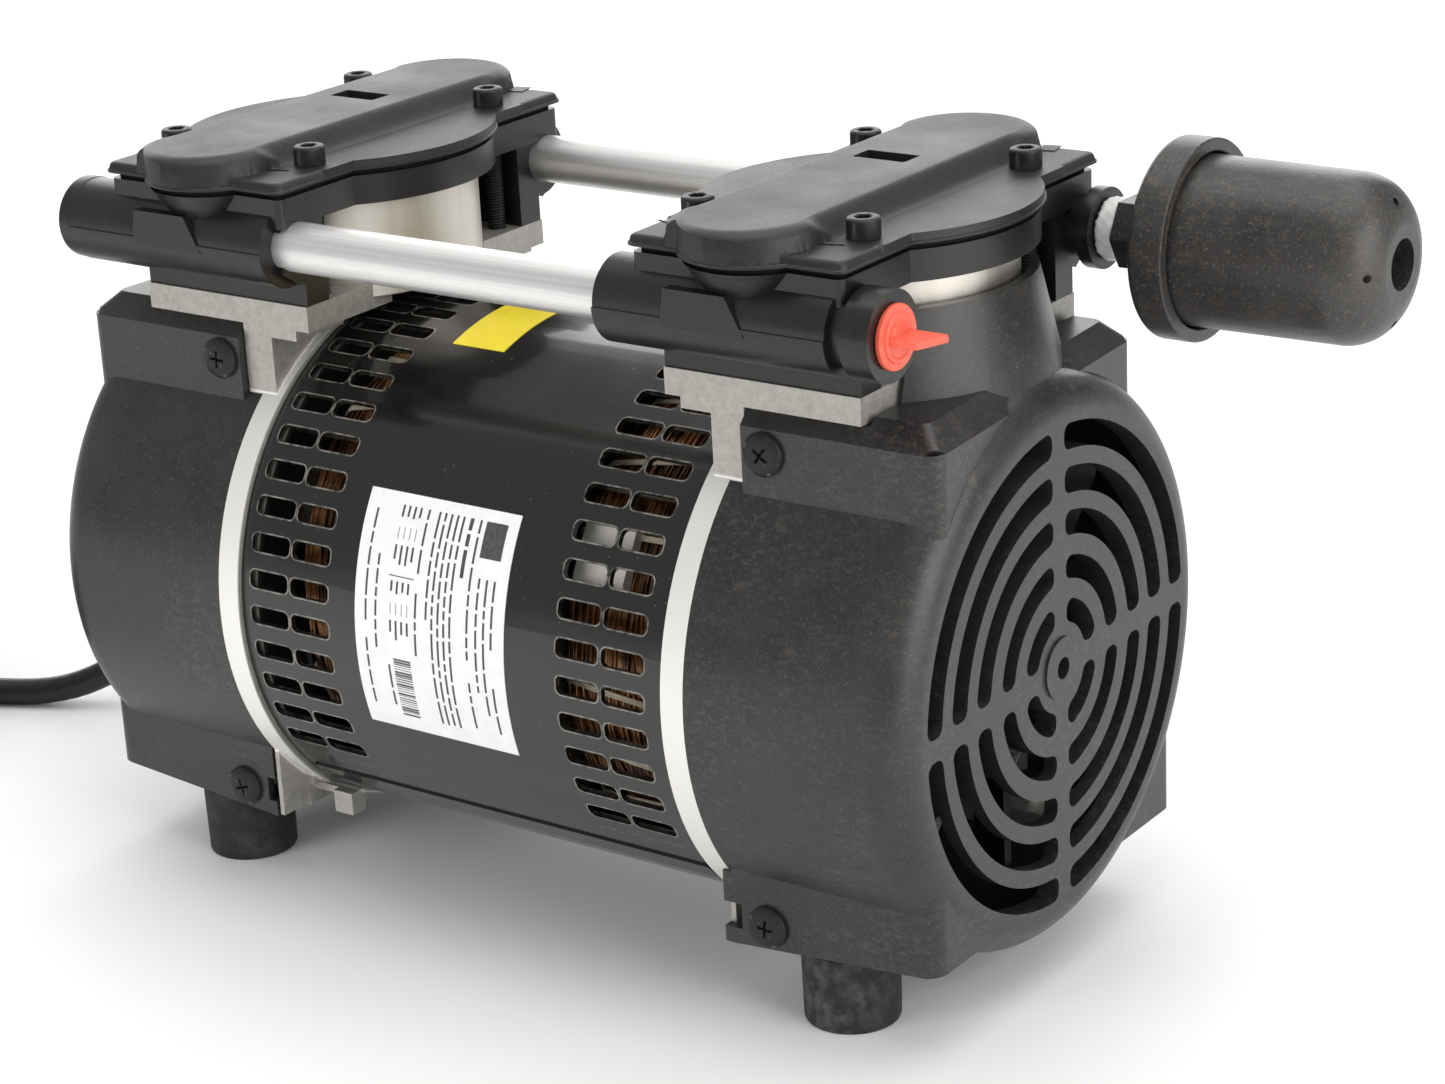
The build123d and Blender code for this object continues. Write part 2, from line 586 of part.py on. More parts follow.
with BuildPart() as head_screws:
    zt = 198.5
    for s in (1, -1):
        xs = s * CYL_X + SCREW_OFF
        with BuildSketch(Plane.XY.offset(zt - 4.8)):
            with Locations((xs, 0)):
                with GridLocations(SCREW_PX, SCREW_PY, 2, 2):
                    Circle(3.95)
        extrude(amount=4.8)
        with BuildSketch(Plane.XY.offset(BAR_Z0 + 0.3)):
            with Locations((xs, 0)):
                with GridLocations(SCREW_PX, SCREW_PY, 2, 2):
                    Circle(SCREW_R)
        extrude(amount=zt - 4.8 - BAR_Z0)
        with BuildSketch(Plane.XY.offset(zt)):
            with Locations((xs, 0)):
                with GridLocations(SCREW_PX, SCREW_PY, 2, 2):
                    RegularPolygon(2.1, 6)
        extrude(amount=-2.6, mode=Mode.SUBTRACT)
save(head_screws.part, "head_screws")

# ------------------------------------------------------------ crossover tubes
for f, nm, xl in ((-1, "front", -74.0), (1, "back", -72.0)):
    with BuildPart() as tube:
        with BuildSketch(YZ(xl)):
            with Locations((f * TUBE_Y, TUBE_Z)):
                Circle(TUBE_R)
                Circle(TUBE_R - 1.25, mode=Mode.SUBTRACT)
        extrude(amount=61.0 - xl)
    save(tube.part, "crossover_tube_" + nm)

# cap closing the outer end of the left-front pipe, and the one behind it
with BuildPart() as port_caps:
    for f in (1, -1):
        with BuildSketch(YZ(-128.0)):
            with Locations((f * TUBE_Y, TUBE_Z)):
                Circle(10.6)
        extrude(amount=4.0)
        with BuildSketch(YZ(-129.0)):
            with Locations((f * TUBE_Y, TUBE_Z)):
                Circle(7.6)
        extrude(amount=2.6, mode=Mode.SUBTRACT)
        with BuildSketch(YZ(-124.5)):
            with Locations((f * TUBE_Y, TUBE_Z)):
                Circle(6.3)
        extrude(amount=12.0)
save(port_caps.part, "port_caps")

# ------------------------------------------------------------ exhaust port plug
with BuildPart() as exhaust_plug:
    with BuildSketch(YZ(121.45)):
        with Locations((-TUBE_Y, TUBE_Z)):
            Circle(7.6)
    extrude(amount=1.5)
    with BuildSketch(YZ(111.0)):
        with Locations((-TUBE_Y, TUBE_Z)):
            Circle(6.4 - FIT)
            Circle(4.6, mode=Mode.SUBTRACT)
    extrude(amount=10.6)
    with BuildSketch(Plane(origin=(0, -TUBE_Y, TUBE_Z - 0.8), x_dir=(1, 0, 0), z_dir=(0, 0, 1))):
        with BuildLine():
            Polyline((122.5, -4.9), (122.5, 4.9), (132.6, 4.9), (133.7, 3.6), (130.6, -4.9), close=True)
        make_face()
    extrude(amount=1.6)
save(exhaust_plug.part, "exhaust_plug")

# ------------------------------------------------------------ inlet filter
with BuildPart() as filter_nipple:
    with BuildSketch(YZ(105.0)):
        with Locations((TUBE_Y, TUBE_Z)):
            Circle(6.3)
            Circle(4.2, mode=Mode.SUBTRACT)
    extrude(amount=19.3)
    with BuildSketch(YZ(124.3)):
        with Locations((TUBE_Y, TUBE_Z)):
            RegularPolygon(9.4, 6)
            Circle(4.2, mode=Mode.SUBTRACT)
    extrude(amount=7.7)
save(filter_nipple.part, "filter_nipple")

with BuildPart() as thread_tape:
    with BuildSketch(YZ(119.1)):
        with Locations((TUBE_Y, TUBE_Z)):
            Circle(8.2)
            Circle(6.35, mode=Mode.SUBTRACT)
    extrude(amount=4.8)
save(thread_tape.part, "thread_tape")

with BuildPart() as filter_base:
    with BuildSketch(YZ(BASE_X)):
        with Locations((TUBE_Y, TUBE_Z)):
            Circle(24.6)
            Circle(4.2, mode=Mode.SUBTRACT)
    extrude(amount=9.5)
    fillet(filter_base.edges().group_by(Axis.X)[0].sort_by(SortBy.RADIUS)[-1], 2.0)
    with BuildSketch(YZ(132.0)):                        # boss that the nipple screws into
        with Locations((TUBE_Y, TUBE_Z)):
            Circle(9.0)
            Circle(4.2, mode=Mode.SUBTRACT)
    extrude(amount=BASE_X - 132.0)
    with BuildSketch(YZ(BASE_X + 3.0)):
        with Locations((TUBE_Y, TUBE_Z)):
            Circle(21.3)
    extrude(amount=12.0, mode=Mode.SUBTRACT)
save(filter_base.part, "filter_base")

with BuildPart() as filter_canister:
    with BuildSketch(Plane.XY.offset(TUBE_Z)):
        with BuildLine():
            l1 = Polyline((140.4, TUBE_Y), (140.4, TUBE_Y + 20.8), (183.5, TUBE_Y + 20.4))
            l2 = ThreePointArc((183.5, TUBE_Y + 20.4), (192.2, TUBE_Y + 17.2), (CAN_X1, TUBE_Y + 9.0))
            l3 = Polyline((CAN_X1, TUBE_Y + 9.0), (CAN_X1, TUBE_Y), (140.4, TUBE_Y))
        make_face()
    revolve(axis=Axis((0, TUBE_Y, TUBE_Z), (1, 0, 0)), revolution_arc=360)
    with BuildSketch(YZ(139.4)):
        with Locations((TUBE_Y, TUBE_Z)):
            Circle(18.4)
    extrude(amount=48.8, mode=Mode.SUBTRACT)
    with BuildSketch(YZ(187.0)):
        with Locations((TUBE_Y, TUBE_Z)):
            Circle(6.15)
    extrude(amount=12.0, mode=Mode.SUBTRACT)
    with BuildSketch(YZ(187.0)):
        with Locations((TUBE_Y, TUBE_Z)):
            with PolarLocations(14.6, 4):
                Circle(1.0)
    extrude(amount=12.0, mode=Mode.SUBTRACT)
save(filter_canister.part, "filter_canister")

with BuildPart() as filter_element:
    with BuildSketch(YZ(141.2)):
        with Locations((TUBE_Y, TUBE_Z)):
            Circle(17.6)
            Circle(9.0, mode=Mode.SUBTRACT)
    extrude(amount=45.0)
save(filter_element.part, "filter_element")

# ------------------------------------------------------------ feet
with BuildPart() as rubber_feet:
    for x in (FOOT_X, -FOOT_X):
        for y in (FOOT_Y, -FOOT_Y):
            with BuildSketch(Plane.XY):
                with Locations((x, y)):
                    Circle(FOOT_R - 0.3)
            extrude(amount=FOOT_H, taper=-0.85)
            with BuildSketch(Plane.XY.offset(-1)):
                with Locations((x, y)):
                    Circle(INSERT_R)
            extrude(amount=1 + INSERT_D, mode=Mode.SUBTRACT)
            with BuildSketch(Plane.XY.offset(12.0)):
                with Locations((x, y)):
                    Circle(3.0)
            extrude(amount=12, mode=Mode.SUBTRACT)
save(rubber_feet.part, "rubber_feet")

with BuildPart() as foot_studs:
    for x in (FOOT_X, -FOOT_X):
        for y in (FOOT_Y, -FOOT_Y):
            with BuildSketch(Plane.XY.offset(12.0)):
                with Locations((x, y)):
                    Circle(3.0)
            extrude(amount=18.0)
            with BuildSketch(Plane.XY.offset(FOOTBAR_Z1)):
                with Locations((x, y)):
                    RegularPolygon(5.2, 6)
            extrude(amount=3.4)
save(foot_studs.part, "foot_studs")


# ------------------------------------------------------------ labels
def label(name, x0, x1, a0, a1):
    with BuildPart() as plate:
        with BuildSketch(YZ(x0)):
            with BuildLine():
                p = lambda r, a: (-r * cos(radians(a)), H + r * sin(radians(a)))
                am = (a0 + a1) / 2
                ra, rb = SHELL_R + 0.02, SHELL_R + 0.2
                ThreePointArc(p(ra, a0), p(ra, am), p(ra, a1))
                Line(p(ra, a1), p(rb, a1))
                ThreePointArc(p(rb, a1), p(rb, am), p(rb, a0))
                Line(p(rb, a0), p(ra, a0))
            make_face()
        extrude(amount=x1 - x0)
    save(plate.part, name)


label("rating_label", -28.5, 19.0, -18.0, 33.0)
label("caution_label", -28.7, -12.0, 69.7, 98.0)

# ------------------------------------------------------------ rotor
with BuildPart() as rotor_shaft:
    with BuildSketch(YZ(-78.4)):
        with Locations((0, H)):
            Circle(SHAFT_R)
    extrude(amount=156.8)
    with BuildSketch(YZ(-SHAFT_X)):
        with Locations((0, H)):
            Circle(SHAFT_END_R)
    extrude(amount=2 * SHAFT_X)
save(rotor_shaft.part, "rotor_shaft")

with BuildPart() as rotor_core:
    with BuildSketch(YZ(-28)):
        with Locations((0, H)):
            Circle(38.6)
            Circle(SHAFT_R, mode=Mode.SUBTRACT)
            with PolarLocations(28.0, 6):
                Circle(3.0, mode=Mode.SUBTRACT)
    extrude(amount=56)
save(rotor_core.part, "rotor_core")

with BuildPart() as rotor_end_rings:
    for x0, x1 in ((28.0, 37.0), (-37.0, -28.0)):
        with BuildSketch(YZ(x0)):
            with Locations((0, H)):
                Circle(38.0)
                Circle(29.0, mode=Mode.SUBTRACT)
        extrude(amount=x1 - x0)
        with BuildSketch(YZ(x0 if x0 > 0 else x0 - 8.0)):
            with Locations((0, H)):
                with PolarLocations(33.5, 12):
                    Rectangle(8.0, 2.2)
        extrude(amount=17.0)
save(rotor_end_rings.part, "rotor_end_rings")

for s, nm in ((1, "right"), (-1, "left")):
    ez = H - s * THROW                                  # right at bottom dead centre, left at top
    with BuildPart() as eccentric:
        with BuildSketch(YZ(min(s * 79.6, s * 92.4))):
            with Locations((0, ez)):
                Circle(JOURNAL_R)
        extrude(amount=12.8)
        with BuildSketch(YZ(min(s * 92.4, s * 100.4))):
            with BuildLine():
                # counterweight sector opposite the throw
                t = s
                ThreePointArc((-33 * cos(radians(20)), H + t * 33 * sin(radians(20))), (0, H + t * 33),
                              (33 * cos(radians(20)), H + t * 33 * sin(radians(20))))
                Line((33 * cos(radians(20)), H + t * 33 * sin(radians(20))), (13.0, H - t * 4))
                ThreePointArc((13.0, H - t * 4), (0, H - t * 13.6), (-13.0, H - t * 4))
                Line((-13.0, H - t * 4), (-33 * cos(radians(20)), H + t * 33 * sin(radians(20))))
            make_face()
        extrude(amount=8.0)
        with BuildSketch(YZ(min(s * 79.0, s * 101.0))):
            with Locations((0, H)):
                Circle(SHAFT_END_R)
        extrude(amount=22.0, mode=Mode.SUBTRACT)
    save(eccentric.part, "eccentric_" + nm)

    with BuildPart() as fan:
        with BuildSketch(YZ(min(s * 103.0, s * 122.0))):
            with Locations((0, H)):
                Circle(13.0)
        extrude(amount=19.0)
        with BuildSketch(YZ(min(s * 106.0, s * 108.5))):
            with Locations((0, H)):
                Circle(30.0)
        extrude(amount=2.5)
        for i in range(8):
            a = 45.0 * i
            pl = Plane(origin=(s * 113.0, 0, H), x_dir=(0, cos(radians(a)), sin(radians(a))),
                       z_dir=(sin(radians(32)), sin(radians(a)) * cos(radians(32)) * -1,
                              cos(radians(a)) * cos(radians(32))))
            with BuildSketch(pl.offset(-0.9)):
                with Locations((34.0, 0)):
                    RectangleRounded(46.0, 17.0, 5.0)
            extrude(amount=1.8)
        with BuildSketch(YZ(min(s * 100.0, s * 126.0))):
            with Locations((0, H)):
                Circle(SHAFT_END_R)
        extrude(amount=26.0, mode=Mode.SUBTRACT)
    print("fan", nm, len(fan.part.solids()))
    save(fan.part, "fan_" + nm)

    # connecting rod with its rocking piston, drawn upright over the journal
    x0 = min(s * 79.9, s * 91.9)
    with BuildPart() as con_rod:
        with BuildSketch(YZ(x0)):
            with Locations((0, ez)):
                Circle(28.0)
        extrude(amount=12.0)
        with BuildSketch(YZ(min(s * 81.4, s * 90.4))):
            with BuildLine():
                Polyline((-15, ez + 18), (15, ez + 18), (8, ez + 50), (8, ez + 76), (14, ez + 82), (-14, ez + 82),
                         (-8, ez + 76), (-8, ez + 50), close=True)
            make_face()
        extrude(amount=9.0)
        with BuildSketch(Plane.XY.offset(ez + 81.5)):
            with Locations((s * CYL_X, 0)):
                Circle(23.0)
        extrude(amount=4.0)
        with BuildSketch(YZ(x0 - 1)):
            with Locations((0, ez)):
                Circle(23.5)
        extrude(amount=14.0, mode=Mode.SUBTRACT)
        with BuildSketch(Plane.XY.offset(ez + 75)):
            with Locations((s * CYL_X, 0)):
                Circle(2.4)
        extrude(amount=12.0, mode=Mode.SUBTRACT)
    save(con_rod.part, "con_rod_" + nm)
    with BuildPart() as rod_bearing:
        with BuildSketch(YZ(x0)):
            with Locations((0, ez)):
                Circle(23.5)
                Circle(JOURNAL_R + FIT, mode=Mode.SUBTRACT)
        extrude(amount=12.0)
    save(rod_bearing.part, "rod_bearing_" + nm)
    zp = ez + 85.5
    with BuildPart() as piston_cup:
        with BuildSketch(Plane.XY.offset(zp)):
            with Locations((s * CYL_X, 0)):
                Circle(24.2)
                Circle(2.4, mode=Mode.SUBTRACT)
        extrude(amount=1.2)
        with BuildSketch(Plane.XY.offset(zp + 1.0)):
            with Locations((s * CYL_X, 0)):
                Circle(24.2)
                Circle(23.0, mode=Mode.SUBTRACT)
        extrude(amount=2.6)
    save(piston_cup.part, "piston_cup_" + nm)
    with BuildPart() as cup_retainer:
        with BuildSketch(Plane.XY.offset(zp + 1.2)):
            with Locations((s * CYL_X, 0)):
                Circle(22.6)
        extrude(amount=3.6)
        with BuildSketch(Plane.XY.offset(zp + 0.5)):
            with Locations((s * CYL_X, 0)):
                Circle(2.4)
        extrude(amount=6.0, mode=Mode.SUBTRACT)
    save(cup_retainer.part, "cup_retainer_" + nm)
    with BuildPart() as retainer_screw:
        with BuildSketch(Plane.XY.offset(zp + 4.8)):
            with Locations((s * CYL_X, 0)):
                Circle(4.6)
        extrude(amount=1.0)
        with BuildSketch(Plane.XY.offset(ez + 76.0)):
            with Locations((s * CYL_X, 0)):
                Circle(2.4)
        extrude(amount=zp + 4.8 - ez - 76.0)
    save(retainer_screw.part, "retainer_screw_" + nm)

# ------------------------------------------------------------ mains cord
with BuildPart() as strain_relief:
    with BuildSketch(Plane.XZ.offset(-EXIT_Y)):
        with BuildLine():
            Polyline((-125.2, EXIT_Z), (-125.2, EXIT_Z + 6.2), (-127.4, EXIT_Z + 6.2), (-127.4, EXIT_Z + 4.9),
                     (-133.6, EXIT_Z + 4.9), (-133.6, EXIT_Z + 6.4), (-137.0, EXIT_Z + 6.2),
                     (-154.0, EXIT_Z + 4.7), (-154.0, EXIT_Z), close=True)
        make_face()
    revolve(axis=Axis((0, EXIT_Y, EXIT_Z), (1, 0, 0)), revolution_arc=360)
save(strain_relief.part, "strain_relief")

ROUTE = [(-154.0, 22.0, 29.4), (-171.2, 22.0, 29.4), (-187.2, 18.4, 24.2), (-200.6, 12.0, 13.4),
         (-219.5, 2.4, 4.0), (-243.0, -8.8, 4.0), (-268.0, -19.2, 4.0), (-285.0, -27.0, 4.0)]
COIL_C, COIL_RO, COIL_RI, COIL_H = (-276.8, -77.2), 52.0, 36.0, 24.0


def corner_radii(pts):
    v = [Vector(*b) - Vector(*a) for a, b in zip(pts, pts[1:])]
    out = []
    for a, b in zip(v, v[1:]):
        turn = a.get_angle(b)
        out.append((0.45 * min(a.length, b.length) / tan(radians(turn / 2)), turn))
    return out


rr = corner_radii(ROUTE)
print("cord radii", [(round(r, 1), round(t, 1)) for r, t in rr])
with BuildPart() as power_cord:
    with BuildLine() as path:
        FilletPolyline(*ROUTE, radius=[r for r, t in rr])
    with BuildSketch(Plane(origin=ROUTE[0], x_dir=(0, 1, 0),
                           z_dir=(Vector(*ROUTE[1]) - Vector(*ROUTE[0])).normalized())):
        Circle(CORD_D / 2)
    sweep()
ln = sum(e.length for e in path.edges())
print("cord tube length", ln, "volume", power_cord.part.volume, "section x length", ln * pi * CORD_D ** 2 / 4)
save(power_cord.part, "power_cord")

with BuildPart() as cord_coil:
    with BuildSketch(Plane.XY):
        with Locations(COIL_C):
            Circle(COIL_RO)
            Circle(COIL_RI, mode=Mode.SUBTRACT)
    extrude(amount=COIL_H)
    fillet(cord_coil.edges().filter_by(GeomType.CIRCLE).group_by(Axis.Z)[-1], 3.0)
save(cord_coil.part, "cord_coil")

# three-pin mains plug lying on the coil
with BuildPart() as mains_plug:
    px, py, pz = COIL_C[0] + 4.0, COIL_C[1] - 44.0, COIL_H
    with BuildSketch(Plane.XY.offset(pz)):
        with Locations((px, py)):
            RectangleRounded(34.0, 26.0, 6.0)
    extrude(amount=22.0)
    with BuildSketch(YZ(px - 17 - 14)):
        with Locations((py, pz + 11)):
            Circle(5.6)
    extrude(amount=15)
    with BuildSketch(YZ(px + 16.5)):
        with Locations((py - 6.35, pz + 8.5), (py + 6.35, pz + 8.5)):
            Rectangle(1.5, 6.3)
        with Locations((py, pz + 17.5)):
            Circle(2.4)
    extrude(amount=18.5)
save(mains_plug.part, "mains_plug")
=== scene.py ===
import json
import math
import random

import bmesh
import bpy
from mathutils import Matrix, Vector


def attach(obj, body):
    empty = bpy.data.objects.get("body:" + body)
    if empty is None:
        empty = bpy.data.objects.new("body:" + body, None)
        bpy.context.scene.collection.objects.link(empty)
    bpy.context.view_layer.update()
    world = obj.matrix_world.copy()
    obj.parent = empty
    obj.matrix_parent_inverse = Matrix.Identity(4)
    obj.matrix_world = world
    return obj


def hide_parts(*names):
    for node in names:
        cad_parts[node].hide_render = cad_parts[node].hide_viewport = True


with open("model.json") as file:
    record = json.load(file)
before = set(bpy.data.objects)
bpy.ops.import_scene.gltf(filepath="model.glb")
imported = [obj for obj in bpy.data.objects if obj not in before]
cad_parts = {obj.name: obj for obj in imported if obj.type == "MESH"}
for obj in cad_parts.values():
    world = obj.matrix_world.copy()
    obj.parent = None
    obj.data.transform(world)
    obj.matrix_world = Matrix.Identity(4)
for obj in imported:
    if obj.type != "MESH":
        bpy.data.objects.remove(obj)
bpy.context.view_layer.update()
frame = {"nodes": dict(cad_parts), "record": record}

NODES = frame["nodes"]
MM = 0.001
COLL = bpy.context.scene.collection


# ------------------------------------------------------------------ material helpers
class Mat:
    """A small builder for procedural materials in object space, in metres."""

    def __init__(self, name, **principled):
        self.m = bpy.data.materials.new(name)
        self.m.use_nodes = True
        self.t = self.m.node_tree
        self.t.nodes.clear()
        self.out = self.t.nodes.new("ShaderNodeOutputMaterial")
        self.p = self.t.nodes.new("ShaderNodeBsdfPrincipled")
        self.t.links.new(self.p.outputs[0], self.out.inputs[0])
        self.tc = self.t.nodes.new("ShaderNodeTexCoord")
        self.obj = self.tc.outputs["Object"]
        self.last_normal = None
        for k, v in principled.items():
            self.set(k, v)

    KEYS = {
        "base": "Base Color", "rough": "Roughness", "metal": "Metallic", "spec": "Specular IOR Level",
        "coat": "Coat Weight", "coat_rough": "Coat Roughness", "ior": "IOR", "sheen": "Sheen Weight",
        "sheen_rough": "Sheen Roughness", "aniso": "Anisotropic", "sss": "Subsurface Weight",
        "sss_radius": "Subsurface Radius", "sss_scale": "Subsurface Scale", "emit": "Emission Color",
        "emit_strength": "Emission Strength",
    }

    def set(self, key, value):
        s = self.p.inputs[self.KEYS[key]]
        if isinstance(value, (int, float)):
            s.default_value = value
        elif isinstance(value, (tuple, list)):
            v = tuple(value)
            s.default_value = v + (1.0,) if len(v) == 3 and s.type == "RGBA" else v
        else:
            self.t.links.new(value, s)

    def node(self, kind, **props):
        n = self.t.nodes.new(kind)
        for k, v in props.items():
            setattr(n, k, v)
        return n

    def plug(self, sock, value):
        if isinstance(value, (int, float)):
            sock.default_value = value
        elif isinstance(value, (tuple, list)):
            v = tuple(value)
            sock.default_value = v + (1.0,) if len(v) == 3 and sock.type == "RGBA" else v
        else:
            self.t.links.new(value, sock)

    def mapping(self, scale=(1, 1, 1), loc=(0, 0, 0), rot=(0, 0, 0), vec=None):
        n = self.node("ShaderNodeMapping")
        self.plug(n.inputs["Vector"], vec or self.obj)
        n.inputs["Scale"].default_value = scale
        n.inputs["Location"].default_value = loc
        n.inputs["Rotation"].default_value = rot
        return n.outputs[0]

    def noise(self, scale, detail=3.0, rough=0.55, vec=None, distort=0.0):
        n = self.node("ShaderNodeTexNoise")
        self.plug(n.inputs["Vector"], vec or self.obj)
        n.inputs["Scale"].default_value = scale
        n.inputs["Detail"].default_value = detail
        n.inputs["Roughness"].default_value = rough
        n.inputs["Distortion"].default_value = distort
        return n.outputs[0]

    def voronoi(self, scale, feature="F1", vec=None, rand=1.0):
        n = self.node("ShaderNodeTexVoronoi", feature=feature)
        self.plug(n.inputs["Vector"], vec or self.obj)
        n.inputs["Scale"].default_value = scale
        n.inputs["Randomness"].default_value = rand
        return n.outputs["Distance"]

    def vorcol(self, scale, vec=None):
        n = self.node("ShaderNodeTexVoronoi")
        self.plug(n.inputs["Vector"], vec or self.obj)
        n.inputs["Scale"].default_value = scale
        return n.outputs["Distance"], n.outputs["Color"]

    def wave(self, scale, direction="X", distort=0.0, vec=None, kind="BANDS"):
        n = self.node("ShaderNodeTexWave", wave_type=kind)
        if kind == "BANDS":
            n.bands_direction = direction
        self.plug(n.inputs["Vector"], vec or self.obj)
        n.inputs["Scale"].default_value = scale
        n.inputs["Distortion"].default_value = distort
        return n.outputs["Fac"]

    def ramp(self, fac, stops, smooth=False):
        n = self.node("ShaderNodeValToRGB")
        self.plug(n.inputs[0], fac)
        cr = n.color_ramp
        cr.interpolation = "EASE" if smooth else "LINEAR"
        while len(cr.elements) < len(stops):
            cr.elements.new(0.5)
        for e, (pos, col) in zip(cr.elements, stops):
            e.position = pos
            c = (col, col, col) if isinstance(col, (int, float)) else tuple(col)
            e.color = c + (1.0,) if len(c) == 3 else c
        return n.outputs[0]

    def remap(self, fac, a0, a1, b0, b1):
        n = self.node("ShaderNodeMapRange")
        self.plug(n.inputs[0], fac)
        for i, v in zip((1, 2, 3, 4), (a0, a1, b0, b1)):
            n.inputs[i].default_value = v
        return n.outputs[0]

    def mix(self, fac, a, b, blend="MIX"):
        n = self.node("ShaderNodeMix", data_type="RGBA", blend_type=blend)
        self.plug(n.inputs[0], fac)
        self.plug(n.inputs[6], a)
        self.plug(n.inputs[7], b)
        return n.outputs[2]

    def math(self, op, a, b=0.0, clamp=False):
        n = self.node("ShaderNodeMath", operation=op, use_clamp=clamp)
        self.plug(n.inputs[0], a)
        self.plug(n.inputs[1], b)
        return n.outputs[0]

    def xyz(self, vec=None):
        n = self.node("ShaderNodeSeparateXYZ")
        self.plug(n.inputs[0], vec or self.obj)
        return n.outputs[0], n.outputs[1], n.outputs[2]

    def bump(self, height, distance, strength=1.0):
        n = self.node("ShaderNodeBump")
        n.inputs["Strength"].default_value = strength
        n.inputs["Distance"].default_value = distance
        self.plug(n.inputs["Height"], height)
        if self.last_normal is not None:
            self.t.links.new(self.last_normal, n.inputs["Normal"])
        self.last_normal = n.outputs[0]
        self.t.links.new(self.last_normal, self.p.inputs["Normal"])
        return self

    def wear(self, lo=0.52, hi=0.62):
        """0 on flats, 1 on convex edges."""
        g = self.node("ShaderNodeNewGeometry")
        return self.remap(g.outputs["Pointiness"], lo, hi, 0.0, 1.0)


def moulded(name, dark, light, rough, grain=2600.0, speck=0.35, mottled=0.5, bump=0.00002, fibre=0.0):
    """Glass-filled black plastic: fine grain, pale flow specks, short fibres and a slow change of gloss."""
    m = Mat(name, spec=0.5)
    slow = m.noise(38.0, 4.0, 0.6)
    fine = m.noise(grain, 2.0, 0.6)
    sp = m.noise(1300.0, 3.0, 0.75)
    specks = m.remap(sp, 0.56, 0.70, 0.0, speck)
    col = m.mix(m.remap(slow, 0.3, 0.7, 0.0, mottled), dark, light)
    paler = (light[0] * 2.3 + 0.020, light[1] * 2.2 + 0.017, light[2] * 2.1 + 0.014)
    col = m.mix(specks, col, paler)
    if fibre:
        fb = m.noise(300.0, 3.0, 0.7, vec=m.mapping(scale=(1.3, 1.3, 2.4), rot=(0.5, 0.3, 0.2)), distort=0.6)
        where = m.remap(m.noise(24.0, 2.0), 0.42, 0.62, 0.15, 1.0)
        fac = m.math("MULTIPLY", m.remap(fb, 0.50, 0.66, 0.0, fibre), where)
        col = m.mix(fac, col, (0.088, 0.079, 0.071))
    dust = m.voronoi(520.0)
    dots = m.math("MULTIPLY", m.remap(dust, 0.05, 0.10, 1.0, 0.0), m.remap(m.noise(140.0, 2.0), 0.55, 0.62, 0.0, 0.45))
    col = m.mix(dots, col, (0.24, 0.22, 0.20))
    m.set("base", col)
    r = m.math("ADD", m.remap(slow, 0.3, 0.7, rough - 0.06, rough + 0.06), m.remap(fine, 0.3, 0.7, -0.05, 0.05))
    m.set("rough", r)
    m.bump(fine, bump, 0.55)
    m.bump(m.noise(520.0, 3.0, 0.5), bump * 2.5, 0.35)
    return m.m


def metal(name, base, rough, streak=None, grain=900.0, bump=0.00001, var=0.12, metallic=1.0):
    m = Mat(name, metal=metallic)
    vec = m.mapping(scale=streak) if streak else m.obj
    n = m.noise(grain, 4.0, 0.65, vec=vec)
    slow = m.noise(60.0, 3.0)
    lo = tuple(c * (1 - var) for c in base)
    hi = tuple(min(1.0, c * (1 + var)) for c in base)
    m.set("base", m.mix(m.remap(n, 0.3, 0.7, 0.0, 1.0), lo, hi))
    m.set("rough", m.math("ADD", m.remap(n, 0.3, 0.7, rough - 0.06, rough + 0.06), m.remap(slow, 0.3, 0.7, -0.03, 0.03)))
    m.bump(n, bump, 0.6)
    return m.m


MATS = {}

# gloss black stove enamel with orange peel and dust
m = Mat("shell_black_enamel", spec=0.5, coat=0.45, coat_rough=0.06)
dust_d, dust_c = m.vorcol(420.0)
dust = m.math("MULTIPLY", m.remap(dust_d, 0.06, 0.11, 1.0, 0.0), m.remap(m.noise(90.0, 2.0), 0.52, 0.62, 0.0, 0.55))
col = m.mix(dust, (0.0050, 0.0047, 0.0044), (0.20, 0.185, 0.165))
# painted highlight on pale rims round the vent slots: distance to the nearest slot in a wrapped grid
px, py, pz = m.xyz()
ang = m.math("ARCTAN2", m.math("SUBTRACT", pz, 0.082), m.math("MULTIPLY", py, -1.0))
cell = m.math("DIVIDE", m.math("SUBTRACT", ang, math.radians(1.2)), math.radians(360 / 46))
frac = m.math("SUBTRACT", cell, m.math("ROUND", cell))
da = m.math("MULTIPLY", m.math("ABSOLUTE", frac), math.radians(360 / 46) * 0.070)
best = None
for cx in (-0.0576, -0.0440, 0.0410, 0.0547):
    dx = m.math("ABSOLUTE", m.math("SUBTRACT", px, cx))
    best = dx if best is None else m.math("MINIMUM", best, dx)
qx = m.math("MAXIMUM", m.math("SUBTRACT", best, 0.00475), 0.0)
qy = m.math("MAXIMUM", m.math("SUBTRACT", da, 0.0008), 0.0)
sd = m.math("SQRT", m.math("ADD", m.math("MULTIPLY", qx, qx), m.math("MULTIPLY", qy, qy)))
rim = m.math("MULTIPLY", m.remap(sd, 0.00150, 0.00175, 0.0, 1.0), m.remap(sd, 0.00180, 0.00205, 1.0, 0.0))
rim = m.math("MULTIPLY", rim, m.remap(m.noise(420.0, 3.0), 0.36, 0.60, 0.10, 0.85))
# painted highlight along the slot rims, faded out on the lowest rows
painted_rim_highlight = m.math("MULTIPLY", rim, m.remap(cell, -5.5, -4.0, 0.0, 1.0))
m.set("base", m.mix(painted_rim_highlight, col, (0.30, 0.28, 0.25)))
m.set("rough", m.remap(m.noise(70.0, 4.0), 0.3, 0.7, 0.17, 0.27))
